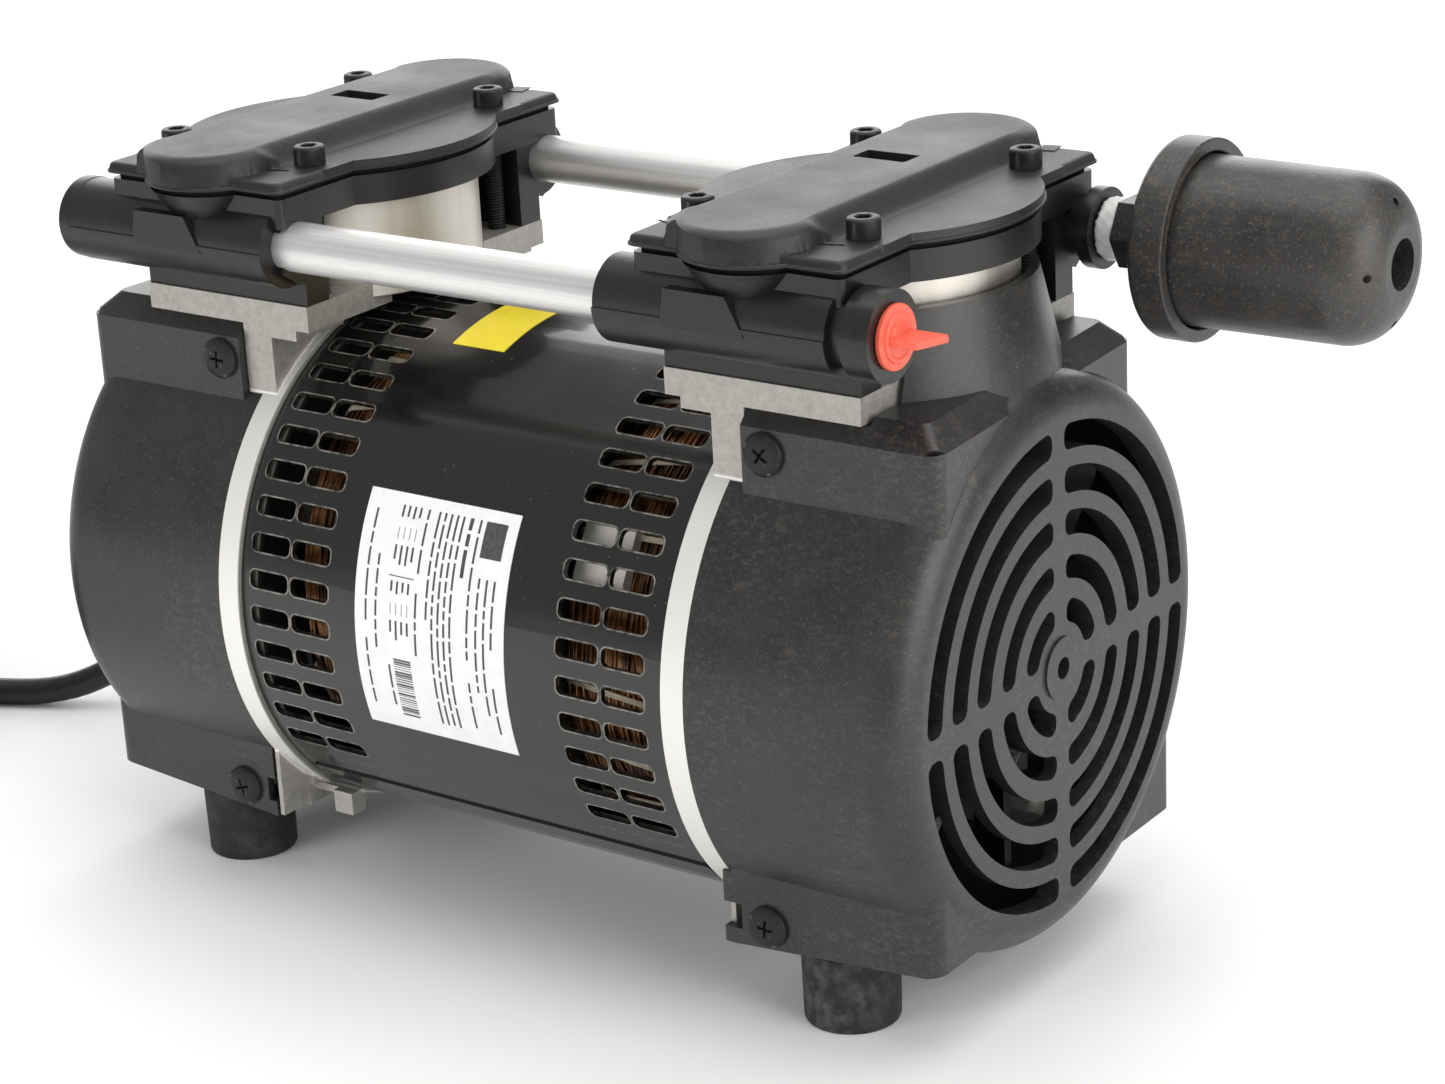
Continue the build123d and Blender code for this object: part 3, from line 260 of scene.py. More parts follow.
m.bump(m.noise(330.0, 2.0, 0.4), 0.00006, 0.25)
m.bump(m.noise(28.0, 2.0, 0.4), 0.0006, 0.12)
MATS["shell_black"] = m.m

# stacked laminations
m = Mat("lamination_stack", metal=0.9)
lam = m.wave(630.0, "X", 0.4)
m.set("base", m.mix(lam, (0.10, 0.095, 0.09), (0.32, 0.31, 0.30)))
m.set("rough", m.remap(lam, 0, 1, 0.55, 0.38))
m.bump(lam, 0.0001, 0.5)
MATS["lamination_steel"] = m.m

# varnished magnet wire
m = Mat("magnet_wire", metal=0.85, coat=0.5, coat_rough=0.12)
n1 = m.noise(160.0, 3.0)
m.set("base", m.mix(m.remap(n1, 0.35, 0.65, 0, 1), (0.050, 0.019, 0.007), (0.36, 0.165, 0.055)))
m.set("rough", m.remap(m.noise(900.0), 0.3, 0.7, 0.25, 0.45))
m.bump(m.noise(1200.0), 0.00003, 0.4)
MATS["copper"] = m.m

# light grey casting
m = Mat("cast_aluminium", metal=0.55)
n1 = m.noise(420.0, 5.0, 0.7)
n2 = m.noise(55.0, 3.0)
col = m.mix(m.remap(n1, 0.35, 0.65, 0, 1), (0.35, 0.338, 0.312), (0.47, 0.456, 0.426))
stain = m.remap(m.noise(140.0, 4.0, 0.7), 0.60, 0.74, 0.0, 0.32)
col = m.mix(stain, col, (0.20, 0.182, 0.155))
# painted shade: near black inside the housing bore, where the inside of the casting lies in shadow
px, py, pz = m.xyz()
pz = m.math("SUBTRACT", pz, 0.082)
rad = m.math("SQRT", m.math("ADD", m.math("MULTIPLY", py, py), m.math("MULTIPLY", pz, pz)))
painted_bore_shade = m.math("MULTIPLY", m.remap(rad, 0.0680, 0.0686, 1.0, 0.0), m.remap(m.math("ABSOLUTE", px), 0.0790, 0.0795, 1.0, 0.0))
col = m.mix(m.math("MULTIPLY", painted_bore_shade, 0.93), col, (0.012, 0.011, 0.010))
turned = m.math("MULTIPLY", m.remap(rad, 0.0708, 0.0712, 0.0, 1.0), m.remap(rad, 0.0717, 0.0721, 1.0, 0.0))
m.set("base", m.mix(turned, col, (0.86, 0.85, 0.82)))
m.set("rough", m.math("ADD", m.remap(n2, 0.3, 0.7, 0.40, 0.50), m.remap(n1, 0.3, 0.7, -0.06, 0.08)))
m.bump(n1, 0.00016, 0.5)
m.bump(n2, 0.0005, 0.2)
MATS["cast_aluminium"] = m.m

MATS["cover_plastic"] = moulded("cover_satin_black", (0.0150, 0.0141, 0.0135), (0.030, 0.0282, 0.0268), 0.36, speck=0.55,
                                mottled=0.8, bump=0.00003, fibre=0.45)
MATS["head_plastic"] = moulded("head_satin_black", (0.0085, 0.0081, 0.0077), (0.0165, 0.0155, 0.0147), 0.48, speck=0.32,
                               bump=0.00004, fibre=0.10)
HEAD_BODY = moulded("head_gloss_black", (0.0080, 0.0076, 0.0073), (0.0150, 0.0142, 0.0136), 0.34, speck=0.22,
                    bump=0.00003, fibre=0.05)
MATS["fan_plastic"] = moulded("fan_black", (0.006, 0.006, 0.006), (0.010, 0.010, 0.010), 0.5)
MATS["filter_plastic"] = moulded("filter_mottled_black", (0.0150, 0.0141, 0.0134), (0.048, 0.0445, 0.0415), 0.38,
                                 speck=0.75, mottled=0.9, bump=0.00006, fibre=0.45)
MATS["white_plastic"] = moulded("pale_plastic", (0.62, 0.60, 0.55), (0.74, 0.72, 0.67), 0.45, speck=0.0)

# black oxide screws
m = Mat("black_oxide", metal=0.35, spec=0.5)
n1 = m.noise(700.0, 3.0)
m.set("base", m.mix(m.wear(0.53, 0.60), m.mix(m.remap(n1, 0.3, 0.7, 0, 1), (0.010, 0.010, 0.010), (0.022, 0.021, 0.020)), (0.09, 0.085, 0.08)))
m.set("rough", m.remap(n1, 0.3, 0.7, 0.40, 0.56))
m.bump(n1, 0.00006, 0.6)
MATS["screw_black"] = m.m

# turned bore tube: streaks down the barrel
m = Mat("turned_aluminium", metal=1.0)
vec = m.mapping(scale=(9.0, 9.0, 0.5))
n1 = m.noise(9.0, 4.0, 0.6, vec=vec)
fine = m.noise(60.0, 3.0, 0.6, vec=m.mapping(scale=(0.8, 0.8, 45.0)))
m.set("base", m.mix(m.remap(n1, 0.3, 0.7, 0, 1), (0.56, 0.528, 0.475), (0.72, 0.685, 0.63)))
m.set("rough", m.math("ADD", m.remap(n1, 0.3, 0.7, 0.40, 0.50), m.remap(fine, 0.3, 0.7, -0.03, 0.03)))
m.bump(fine, 0.00004, 0.35)
MATS["machined_aluminium"] = m.m

# satin drawn tube with draw lines along its length
m = Mat("drawn_tube", metal=0.8)
lines = m.noise(40.0, 4.0, 0.65, vec=m.mapping(scale=(0.15, 30.0, 30.0)))
m.set("base", m.mix(m.remap(lines, 0.3, 0.7, 0, 1), (0.74, 0.738, 0.73), (0.88, 0.878, 0.87)))
m.set("rough", m.remap(lines, 0.3, 0.7, 0.38, 0.46))
m.bump(lines, 0.00003, 0.35)
MATS["tube_aluminium"] = m.m

# orange-red plug
m = Mat("plug_red", sss=0.12, sss_scale=0.002, spec=0.5)
m.p.inputs["Subsurface Radius"].default_value = (1.0, 0.25, 0.1)
n1 = m.noise(500.0, 3.0)
m.set("base", m.mix(m.remap(n1, 0.3, 0.7, 0, 1), (0.78, 0.105, 0.060), (0.88, 0.150, 0.090)))
m.set("rough", m.remap(m.noise(200.0), 0.3, 0.7, 0.30, 0.42))
m.bump(n1, 0.00003, 0.3)
MATS["red_plastic"] = m.m

# sealing tape
m = Mat("seal_tape", spec=0.4, sheen=0.2)
n1 = m.noise(900.0, 4.0, 0.7, vec=m.mapping(scale=(3.0, 0.5, 0.5)))
m.set("base", m.mix(m.remap(n1, 0.3, 0.7, 0, 1), (0.74, 0.74, 0.73), (0.92, 0.92, 0.91)))
m.set("rough", m.remap(n1, 0.3, 0.7, 0.45, 0.65))
m.bump(n1, 0.00012, 0.8)
MATS["white_tape"] = m.m

# felt
m = Mat("pressed_felt", spec=0.2, sheen=0.5)
n1 = m.noise(1400.0, 5.0, 0.8, distort=0.6)
m.set("base", m.mix(m.remap(n1, 0.3, 0.7, 0, 1), (0.50, 0.48, 0.43), (0.74, 0.72, 0.66)))
m.set("rough", m.remap(n1, 0.3, 0.7, 0.85, 0.98))
m.bump(n1, 0.0004, 0.9)
MATS["filter_felt"] = m.m

# chalky rubber
m = Mat("chalky_rubber", spec=0.25)
n1 = m.noise(160.0, 5.0, 0.7)
n2 = m.noise(30.0, 3.0)
bloom = m.remap(n1, 0.46, 0.72, 0.0, 0.8)
bloom = m.math("MULTIPLY", bloom, m.remap(n2, 0.35, 0.6, 0.35, 1.0))
m.set("base", m.mix(bloom, (0.022, 0.0222, 0.0235), (0.110, 0.112, 0.120)))
m.set("rough", m.remap(n1, 0.3, 0.7, 0.55, 0.80))
m.bump(n1, 0.00010, 0.5)
MATS["foot_rubber"] = m.m
m = Mat("gasket_rubber", spec=0.3)
n1 = m.noise(900.0, 3.0)
m.set("base", m.mix(m.remap(n1, 0.3, 0.7, 0, 1), (0.004, 0.004, 0.004), (0.009, 0.009, 0.009)))
m.set("rough", m.remap(n1, 0.3, 0.7, 0.6, 0.8))
m.bump(n1, 0.00004, 0.4)
MATS["gasket_rubber"] = m.m

MATS["zinc_steel"] = metal("zinc_plate", (0.55, 0.55, 0.53), 0.32)
MATS["shaft_steel"] = metal("ground_steel", (0.40, 0.40, 0.41), 0.25, streak=(12.0, 0.6, 0.6), grain=120.0)
MATS["spring_steel"] = metal("spring_strip", (0.42, 0.42, 0.43), 0.22, streak=(1.0, 8.0, 1.0), grain=200.0)

m = Mat("filled_ptfe", spec=0.3)
n1 = m.noise(700.0, 4.0, 0.7)
m.set("base", m.mix(m.remap(n1, 0.3, 0.7, 0, 1), (0.16, 0.105, 0.05), (0.30, 0.21, 0.11)))
m.set("rough", m.remap(n1, 0.3, 0.7, 0.55, 0.7))
m.bump(n1, 0.00005, 0.4)
MATS["ptfe"] = m.m

# cord jacket
m = Mat("cord_jacket", spec=0.4)
n1 = m.noise(500.0, 3.0)
m.set("base", m.mix(m.remap(n1, 0.3, 0.7, 0, 1), (0.0055, 0.0055, 0.0055), (0.011, 0.011, 0.011)))
m.set("rough", m.remap(m.noise(180.0), 0.3, 0.7, 0.34, 0.48))
m.bump(n1, 0.00004, 0.35)
MATS["cord_pvc"] = m.m

# printed films
m = Mat("label_film_white", spec=0.5, coat=0.2, coat_rough=0.2)
n1 = m.noise(220.0, 3.0)
m.set("base", m.mix(m.remap(n1, 0.3, 0.7, 0, 1), (0.78, 0.78, 0.785), (0.84, 0.84, 0.845)))
m.set("rough", m.remap(m.noise(90.0), 0.3, 0.7, 0.32, 0.45))
m.bump(m.noise(60.0, 2.0), 0.0003, 0.15)
MATS["label_white"] = m.m
m = Mat("label_film_yellow", spec=0.5, coat=0.2, coat_rough=0.2)
n1 = m.noise(220.0, 3.0)
m.set("base", m.mix(m.remap(n1, 0.3, 0.7, 0, 1), (0.78, 0.62, 0.022), (0.86, 0.70, 0.035)))
m.set("rough", m.remap(m.noise(90.0), 0.3, 0.7, 0.32, 0.45))
m.bump(m.noise(60.0, 2.0), 0.0003, 0.15)
MATS["label_yellow"] = m.m

# the floor
m = Mat("studio_floor", spec=0.15)
n1 = m.noise(6.0, 2.0)
m.set("base", m.mix(m.remap(n1, 0.3, 0.7, 0, 1), (0.90, 0.90, 0.90), (0.93, 0.93, 0.93)))
m.set("rough", m.remap(n1, 0.3, 0.7, 0.75, 0.85))
FLOOR_MAT = m.m

# ------------------------------------------------------------------ carried-over CAD nodes
SLOT_OF = {s["node"]: s["material_slot"] for s in frame["record"]["subparts"]}


def paint(o, mat):
    if not o.data.materials:
        o.data.materials.append(mat)
    for i in range(len(o.data.materials)):
        o.data.materials[i] = mat


BEVELS = {
    "fan_cover_left": 0.9, "fan_cover_right": 0.9, "end_bracket_left": 0.5, "end_bracket_right": 0.5,
    "head_body_left": 0.5, "head_body_right": 0.5, "head_cover_left": 0.55, "head_cover_right": 0.55,
    "cylinder_left": 0.3, "cylinder_right": 0.3, "filter_base": 0.5, "filter_canister": 0.6,
    "exhaust_plug": 0.35, "rubber_feet": 0.7, "cover_screws": 0.2, "head_screws": 0.25,
    "filter_nipple": 0.25, "strain_relief": 0.4, "motor_shell": 0.22, "port_caps": 0.4,
}
for n, o in NODES.items():
    paint(o, HEAD_BODY if n.startswith("head_body") or n == "port_caps" else MATS[SLOT_OF[n]])


def crisp(o, width, angle=28.0, segments=2):
    w = o.modifiers.new("weld", "WELD")
    w.merge_threshold = 0.000002
    d = o.modifiers.new("planar", "DECIMATE")
    d.decimate_type = "DISSOLVE"
    d.angle_limit = math.radians(0.4)
    b = o.modifiers.new("bevel", "BEVEL")
    b.width = width * MM
    b.segments = segments
    b.limit_method = "ANGLE"
    b.angle_limit = math.radians(angle)
    b.use_clamp_overlap = True
    b.miter_outer = "MITER_ARC"
    s = o.modifiers.new("normals", "WEIGHTED_NORMAL")
    s.keep_sharp = False
    for p in o.data.polygons:
        p.use_smooth = True


for n, w in BEVELS.items():
    crisp(NODES[n], w)

# ------------------------------------------------------------------ mesh helpers


def new_mesh(name, verts, faces, mat, body="housing", smooth=True):
    me = bpy.data.meshes.new(name)
    me.from_pydata([tuple(v) for v in verts], [], faces)
    me.validate()
    me.update()
    if smooth:
        for p in me.polygons:
            p.use_smooth = True
    o = bpy.data.objects.new(name, me)
    COLL.objects.link(o)
    me.materials.append(mat)
    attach(o, body)
    return o


# ------------------------------------------------------------------ valve head covers
# Each cover is one moulded skin: a flange with soft edges and a raised chamber whose long flank is a concave slope.
COVER_Z0, FLANGE_Z, TOP_Z = 191.0, 193.7, 199.0
GRID = 0.48


def sd_round_rect(x, y, hx, hy, r):
    """Distance inside a rounded rectangle, positive inside."""
    qx, qy = abs(x) - (hx - r), abs(y) - (hy - r)
    out = math.hypot(max(qx, 0.0), max(qy, 0.0))
    return -(out + min(max(qx, qy), 0.0) - r)


def sd_flange(x, y):
    return max(sd_round_rect(x, y, 29.8, 56.8, 2.5), 41.2 - math.hypot(x, y))


def sd_lobes(x, y):
    return 18.2 - math.hypot(x, abs(y) - 46.3)


def sd_outline(x, y):
    return max(sd_flange(x, y), sd_lobes(x, y))


def sd_pocket(x, y):
    return sd_round_rect(x + 3.2, y - 12.6, 7.4, 3.6, 0.3)


def sd_cover(x, y):
    return min(sd_outline(x, y), -sd_pocket(x, y))


def sd_top(x, y):
    """Distance inside the flat top of the raised chamber."""
    cy = min(max(y, -46.3), 46.3)
    return 14.4 - math.hypot(x + 2.6, y - cy)


def ease(t):
    t = min(max(t, 0.0), 1.0)
    return t * t * (3 - 2 * t)


def cover_z(x, y):
    t = max(-sd_top(x, y), 0.0)
    end = ease((abs(y) - 40.0) / 7.0)
    w = 6.4 if x > 0 else 3.6
    side = FLANGE_Z + (TOP_Z - FLANGE_Z) * (1.0 - ease(t / w) ** 0.85)
    R = 4.2
    if t < R * 0.999:
        cap = TOP_Z - 0.75 * (R - math.sqrt(R * R - t * t))
    else:
        cap = TOP_Z - 0.75 * R - (t - R) * 8.0
    z = side * (1 - end) + cap * end
    f = sd_flange(x, y)
    if f >= 0:
        r = 1.7
        fl = FLANGE_Z - (r - math.sqrt(max(r * r - (r - f) ** 2, 0.0)) if f < r else 0.0)
        # slight crown and sink marks, as moulded
        fl += 0.05 * math.sin(x * 0.21 + 1.0) * math.cos(y * 0.13)
        z = max(z, fl)
    return max(z, COVER_Z0 + 1.0)


def snap(x, y, f):
    for _ in range(6):
        v = f(x, y)
        e = 0.02
        gx = (f(x + e, y) - f(x - e, y)) / (2 * e)
        gy = (f(x, y + e) - f(x, y - e)) / (2 * e)
        g2 = gx * gx + gy * gy
        if g2 < 1e-6:
            break
        x -= gx * v / g2
        y -= gy * v / g2
    return x, y


def cover_mesh(name):
    nx, ny = int(84 / GRID) + 1, int(132 / GRID) + 1
    x0, y0 = -nx * GRID / 2, -ny * GRID / 2
    val = [[sd_cover(x0 + i * GRID, y0 + j * GRID) for j in range(ny + 1)] for i in range(nx + 1)]
    keep = {}
    bm = bmesh.new()
    pos = {}

    def vert(i, j):
        if (i, j) in pos:
            return pos[(i, j)]
        x, y = x0 + i * GRID, y0 + j * GRID
        if val[i][j] < 0.3 * GRID:
            x, y = snap(x, y, sd_cover)
        v = bm.verts.new((x, y, cover_z(x, y)))
        pos[(i, j)] = v
        return v

    for i in range(nx):
        for j in range(ny):
            c = [(i, j), (i + 1, j), (i + 1, j + 1), (i, j + 1)]
            vs = [val[a][b] for a, b in c]
            if max(vs) < 0.3 * GRID or min(vs) < -1.6 * GRID:
                continue
            if sum(v >= 0.3 * GRID for v in vs) >= 1:
                bm.faces.new([vert(a, b) for a, b in c])
    bmesh.ops.remove_doubles(bm, verts=bm.verts, dist=0.03)
    bmesh.ops.dissolve_degenerate(bm, edges=bm.edges, dist=0.02)
    # outer wall and pocket wall
    rim = [e for e in bm.edges if len(e.link_faces) == 1]
    outer = [e for e in rim if all(sd_pocket(v.co.x, v.co.y) < -1.5 for v in e.verts)]
    inner = [e for e in rim if all(abs(sd_pocket(v.co.x, v.co.y)) < 0.5 for v in e.verts)]

    def push(edges, move):
        ret = bmesh.ops.extrude_edge_only(bm, edges=edges)
        new_v = [g for g in ret["geom"] if isinstance(g, bmesh.types.BMVert)]
        new_e = [g for g in ret["geom"] if isinstance(g, bmesh.types.BMEdge)]
        for v in new_v:
            v.co = move(v.co)
        return [e for e in new_e if all(v in set(new_v) for v in e.verts)]

    def out(co, d, z):
        e = 0.02
        x, y = co.x, co.y
        gx = sd_outline(x + e, y) - sd_outline(x - e, y)
        gy = sd_outline(x, y + e) - sd_outline(x, y - e)
        n = math.hypot(gx, gy) or 1.0
        return Vector((x - gx / n * d, y - gy / n * d, z))

    e1 = push(outer, lambda c: out(c, 0.12, COVER_Z0 + 0.85))
    e2 = push(e1, lambda c: out(c, 0.28, COVER_Z0 + 0.72))
    e3 = push(e2, lambda c: out(c, 0.0, COVER_Z0 + 0.15))
    e4 = push(e3, lambda c: out(c, -0.3, COVER_Z0))
    push(e4, lambda c: out(c, -3.0, COVER_Z0))
    p1 = push(inner, lambda c: Vector((c.x, c.y, TOP_Z - 2.6)))
    if p1:
        bmesh.ops.holes_fill(bm, edges=p1, sides=0)
    bmesh.ops.recalc_face_normals(bm, faces=bm.faces)
    me = bpy.data.meshes.new(name)
    bm.to_mesh(me)
    bm.free()
    return me


COVER_ME = cover_mesh("head_cover_skin")
COVER_ME.transform(Matrix.Scale(MM, 4))
COVER_ME.update()
up = sum((p.normal.z * p.area) for p in COVER_ME.polygons)
if up < 0:
    COVER_ME.flip_normals()
for p in COVER_ME.polygons:
    p.use_smooth = True
for s, nm in ((1, "right"), (-1, "left")):
    me = COVER_ME.copy()
    me.transform(Matrix.Translation((s * 0.0832, 0, 0)))
    me.materials.append(MATS["head_plastic"])
    o = bpy.data.objects.new("valve_cover_" + nm, me)
    COLL.objects.link(o)
    mod = o.modifiers.new("edges", "EDGE_SPLIT")
    mod.split_angle = math.radians(42)
    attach(o, "housing")
    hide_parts("head_cover_" + nm)


def box_verts(cx, cy, cz, sx, sy, sz, rot=0.0):
    c, s_ = math.cos(rot), math.sin(rot)
    vs = []
    for dz in (-1, 1):
        for dx, dy in ((-1, -1), (1, -1), (1, 1), (-1, 1)):
            x, y = dx * sx / 2, dy * sy / 2
            vs.append(((cx + x * c - y * s_) * MM, (cy + x * s_ + y * c) * MM, (cz + dz * sz / 2) * MM))
    fs = [(0, 3, 2, 1), (4, 5, 6, 7), (0, 1, 5, 4), (1, 2, 6, 5), (2, 3, 7, 6), (3, 0, 4, 7)]
    return vs, fs


def join_boxes(name, boxes, mat, body="housing", smooth=False):
    vs, fs = [], []
    for b in boxes:
        v, f = box_verts(*b)
        k = len(vs)
        vs += v
        fs += [tuple(i + k for i in q) for q in f]
    return new_mesh(name, vs, fs, mat, body, smooth)


# small raised moulding marks beside the screws
marks = []
for s in (1, -1):
    xc = s * 83.2
    marks.append((xc + 17.8, -44.7, FLANGE_Z + 0.08, 8.0, 0.45, 0.3, 0.27))
    marks.append((xc - 26.4, -44.7, FLANGE_Z + 0.08, 7.0, 0.45, 0.3, -0.31))
    marks.append((xc + 17.5, 54.0, FLANGE_Z + 0.06, 4.6, 5.4, 0.26, 0.2))
o = join_boxes("cover_marks", marks, MATS["head_plastic"])
b = o.modifiers.new("bevel", "BEVEL")
b.width = 0.00008
b.segments = 2

# ------------------------------------------------------------------ cover screws: truss heads with a cross recess
def lathe(profile, n, place, jitter=None):
    """Rings of (radius, height) about an axis; the first ring may be a point."""
    vs, fs = [], []
    for r, h in profile:
        for k in range(n):
            a = 2 * math.pi * k / n
            rr, hh = (r, h) if jitter is None else jitter(r, h, a)
            vs.append(place(rr * math.cos(a), rr * math.sin(a), hh))
    for i in range(len(profile) - 1):
        for k in range(n):
            k2 = (k + 1) % n
            fs.append((i * n + k, i * n + k2, (i + 1) * n + k2, (i + 1) * n + k))
    return vs, fs


def merge(parts):
    vs, fs = [], []
    for v, f in parts:
        k = len(vs)
        vs += v
        fs += [tuple(i + k for i in q) for q in f]
    return vs, fs


def cross_dome(r, a, turn, R, rise, arm, half, depth):
    top = rise * math.sqrt(max(1 - (r / R) ** 2 * 0.94, 0.0)) - rise * math.sqrt(0.06)
    x, y = r * math.cos(a - turn), r * math.sin(a - turn)
    ax, ay = abs(x), abs(y)
    d1 = max(ax - arm, ay - half)
    d2 = max(ay - arm, ax - half)
    core = math.hypot(x, y) - half * 1.75
    d = min(d1, d2, core)
    return top - depth * min(max(-d / 0.22, 0.0), 1.0) * (1.0 - 0.55 * min(r / arm, 1.0))


def truss_screw(cx, cy, cz, ny, turn):
    R = 5.35
    prof = [(0.001, 0.0)] + [(0.11 * k, 0.0) for k in range(1, 27)] + [(2.97 + 0.24 * k, 0.0) for k in range(1, 10)]
    rows = []
    for r, _ in prof:
        rows.append((r, None))
    rows += [(R, 1.02), (R + 0.02, 0.75), (R, 0.12), (R - 0.25, 0.0)]

    def jit(r, h, a):
        if h is None:
            return r, 1.05 + cross_dome(r, a, turn, R, 1.55, 2.35, 0.42, 1.7)
        return r, h

    def place(x, y, z):
        return ((cx + x) * MM, (cy + ny * z) * MM, (cz + y) * MM)

    vs, fs = lathe(rows, 72, place, jit)
    if ny > 0:
        fs = [tuple(reversed(f)) for f in fs]
    return vs, fs


rng = random.Random(71)
parts = []
for s in (1, -1):
    for yw, z in ((50.2, 143.5), (57.1, 26.0)):
        for f in (1, -1):
            parts.append(truss_screw(s * 85.0, f * (yw - 0.02), z, f, rng.uniform(0, 1.5)))
vs, fs = merge(parts)
o = new_mesh("truss_screws", vs, fs, MATS["screw_black"])
bm = bmesh.new()
bm.from_mesh(o.data)
bmesh.ops.recalc_face_normals(bm, faces=bm.faces)
bm.to_mesh(o.data)
bm.free()
es = o.modifiers.new("edges", "EDGE_SPLIT")
es.split_angle = math.radians(48)
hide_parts("cover_screws")


# ------------------------------------------------------------------ head screws: socket caps on threaded shanks
def socket_screw(cx, cy):
    zt, zh = 198.5, 193.7
    hexr = 2.1
    n = 60

    def place(x, y, z):
        return ((cx + x) * MM, (cy + y) * MM, z * MM)

    rows = [(0.001, "f"), (1.2, "f"), (hexr, "w0"), (hexr, "w1"), (hexr + 0.22, "w2"), (3.2, zt), (3.5, zt - 0.05),
            (3.8, zt - 0.25), (3.93, zt - 0.6), (3.95, zt - 0.9), (3.95, zh + 0.2), (3.8, zh), (2.5, zh)]

    def jit(r, h, a):
        sec = (a + math.pi / 6) % (math.pi / 3) - math.pi / 6
        hx = hexr * math.cos(math.pi / 6) / math.cos(sec)
        if h == "f":
            return r, zt - 2.6
        if h == "w0":
            return hx, zt - 2.5
        if h == "w1":
            return hx, zt - 0.22
        if h == "w2":
            return hx + 0.25, zt
        if zh + 0.1 < h < zt - 0.7:
            return r + (0.05 if int(a / (2 * math.pi) * n + 0.5) % 2 else -0.05), h
        return r, h

    a = lathe(rows, n, place, jit)
    # thread
    m, pitch, z0, z1 = 20, 0.8, 153.2 + 0.4, 192.0
    vs, fs = [], []
    turns = int((z1 - z0) / pitch)
    for i in range(turns * m + 1):
        ang = 2 * math.pi * i / m
        zz = z0 + pitch * i / m
        for dr, dz in ((2.02, -0.4), (2.38, -0.06), (2.38, 0.06)):
            vs.append(place(dr * math.cos(ang), dr * math.sin(ang), zz + dz))
        vs.append(place(2.02 * math.cos(ang), 2.02 * math.sin(ang), zz + 0.4))
    for i in range(turns * m):
        for k in range(3):
            fs.append((4 * i + k, 4 * i + k + 4, 4 * i + k + 5, 4 * i + k + 1))
    return merge([a, (vs, fs)])


parts = []
for s in (1, -1):
    for px in (-22.9, 22.9):
        for py in (-35.65, 35.65):
            parts.append(socket_screw(s * 83.2 + -1.2 + px, py))
vs, fs = merge(parts)
o = new_mesh("socket_screws", vs, fs, MATS["screw_black"])
bm = bmesh.new()
bm.from_mesh(o.data)
bmesh.ops.recalc_face_normals(bm, faces=bm.faces)
bm.to_mesh(o.data)
bm.free()
es = o.modifiers.new("edges", "EDGE_SPLIT")
es.split_angle = math.radians(40)
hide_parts("head_screws")

# ------------------------------------------------------------------ end turns: strands and lacing over the coil body
rng = random.Random(19)


def wire(name, paths, radius, mat, closed=True, res=2):
    cu = bpy.data.curves.new(name, "CURVE")
    cu.dimensions = "3D"
    for path in paths:
        sp = cu.splines.new("POLY")
        sp.points.add(len(path) - 1)
        for p, q in zip(sp.points, path):
            p.co = (q[0] * MM, q[1] * MM, q[2] * MM, 1.0)
        sp.use_cyclic_u = closed
    cu.bevel_depth = radius * MM
    cu.bevel_resolution = res
    o = bpy.data.objects.new(name, cu)
    COLL.objects.link(o)
    cu.materials.append(mat)
    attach(o, "housing")
    return o


strands = []
for s in (1, -1):
    x = 29.2
    while x < 56.4:
        path = []
        ph1, ph2 = rng.uniform(0, 6.28), rng.uniform(0, 6.28)
        edge = min((x - 28.1) / 6.0, (57.1 - x) / 6.0, 1.0)
        drop = 6.0 * (1 - math.sqrt(max(1 - (1 - edge) ** 2, 0.0)))
        for k in range(90):
            a = 2 * math.pi * k / 90
            rr = 60.05 - drop + 0.35 * math.sin(5 * a + ph1) + 0.25 * math.sin(11 * a + ph2)
            xx = s * (x + 0.5 * math.sin(3 * a + ph2) + 0.3 * math.sin(8 * a + ph1))
            path.append((xx, rr * math.cos(a), 82.0 + rr * math.sin(a)))
        strands.append(path)
        x += rng.uniform(0.75, 1.05)
wire("winding_strands", strands, 0.46, MATS["copper"])
m = Mat("lacing_twine", spec=0.3)
n1 = m.noise(2600.0, 3.0)
m.set("base", m.mix(m.remap(n1, 0.3, 0.7, 0, 1), (0.50, 0.42, 0.30), (0.72, 0.66, 0.54)))
m.set("rough", m.remap(n1, 0.3, 0.7, 0.6, 0.8))
m.bump(n1, 0.00008, 0.5)
loops = []
for s in (1, -1):
    for k in range(20):
        a = 2 * math.pi * (k + rng.uniform(-0.12, 0.12)) / 20
        lean = rng.uniform(-0.05, 0.05)
        for off in (0.0, 0.012):
            path = []
            for dx, dr in ((-14.9, -3.0), (-14.2, 6.6), (-11.5, 9.05), (-4.0, 9.4), (4.0, 9.35), (11.5, 9.05), (14.2, 6.6),
                           (14.9, -3.0), (13.5, -8.3), (8.0, -8.8), (-8.0, -8.8), (-13.5, -8.3)):
                aa = a + off + lean * dx / 14.0
                rr = 51.5 + dr
                path.append((s * (42.6 + dx), rr * math.cos(aa), 82.0 + rr * math.sin(aa)))
            loops.append(path)
wire("winding_lacing", loops, 0.42, m.m)

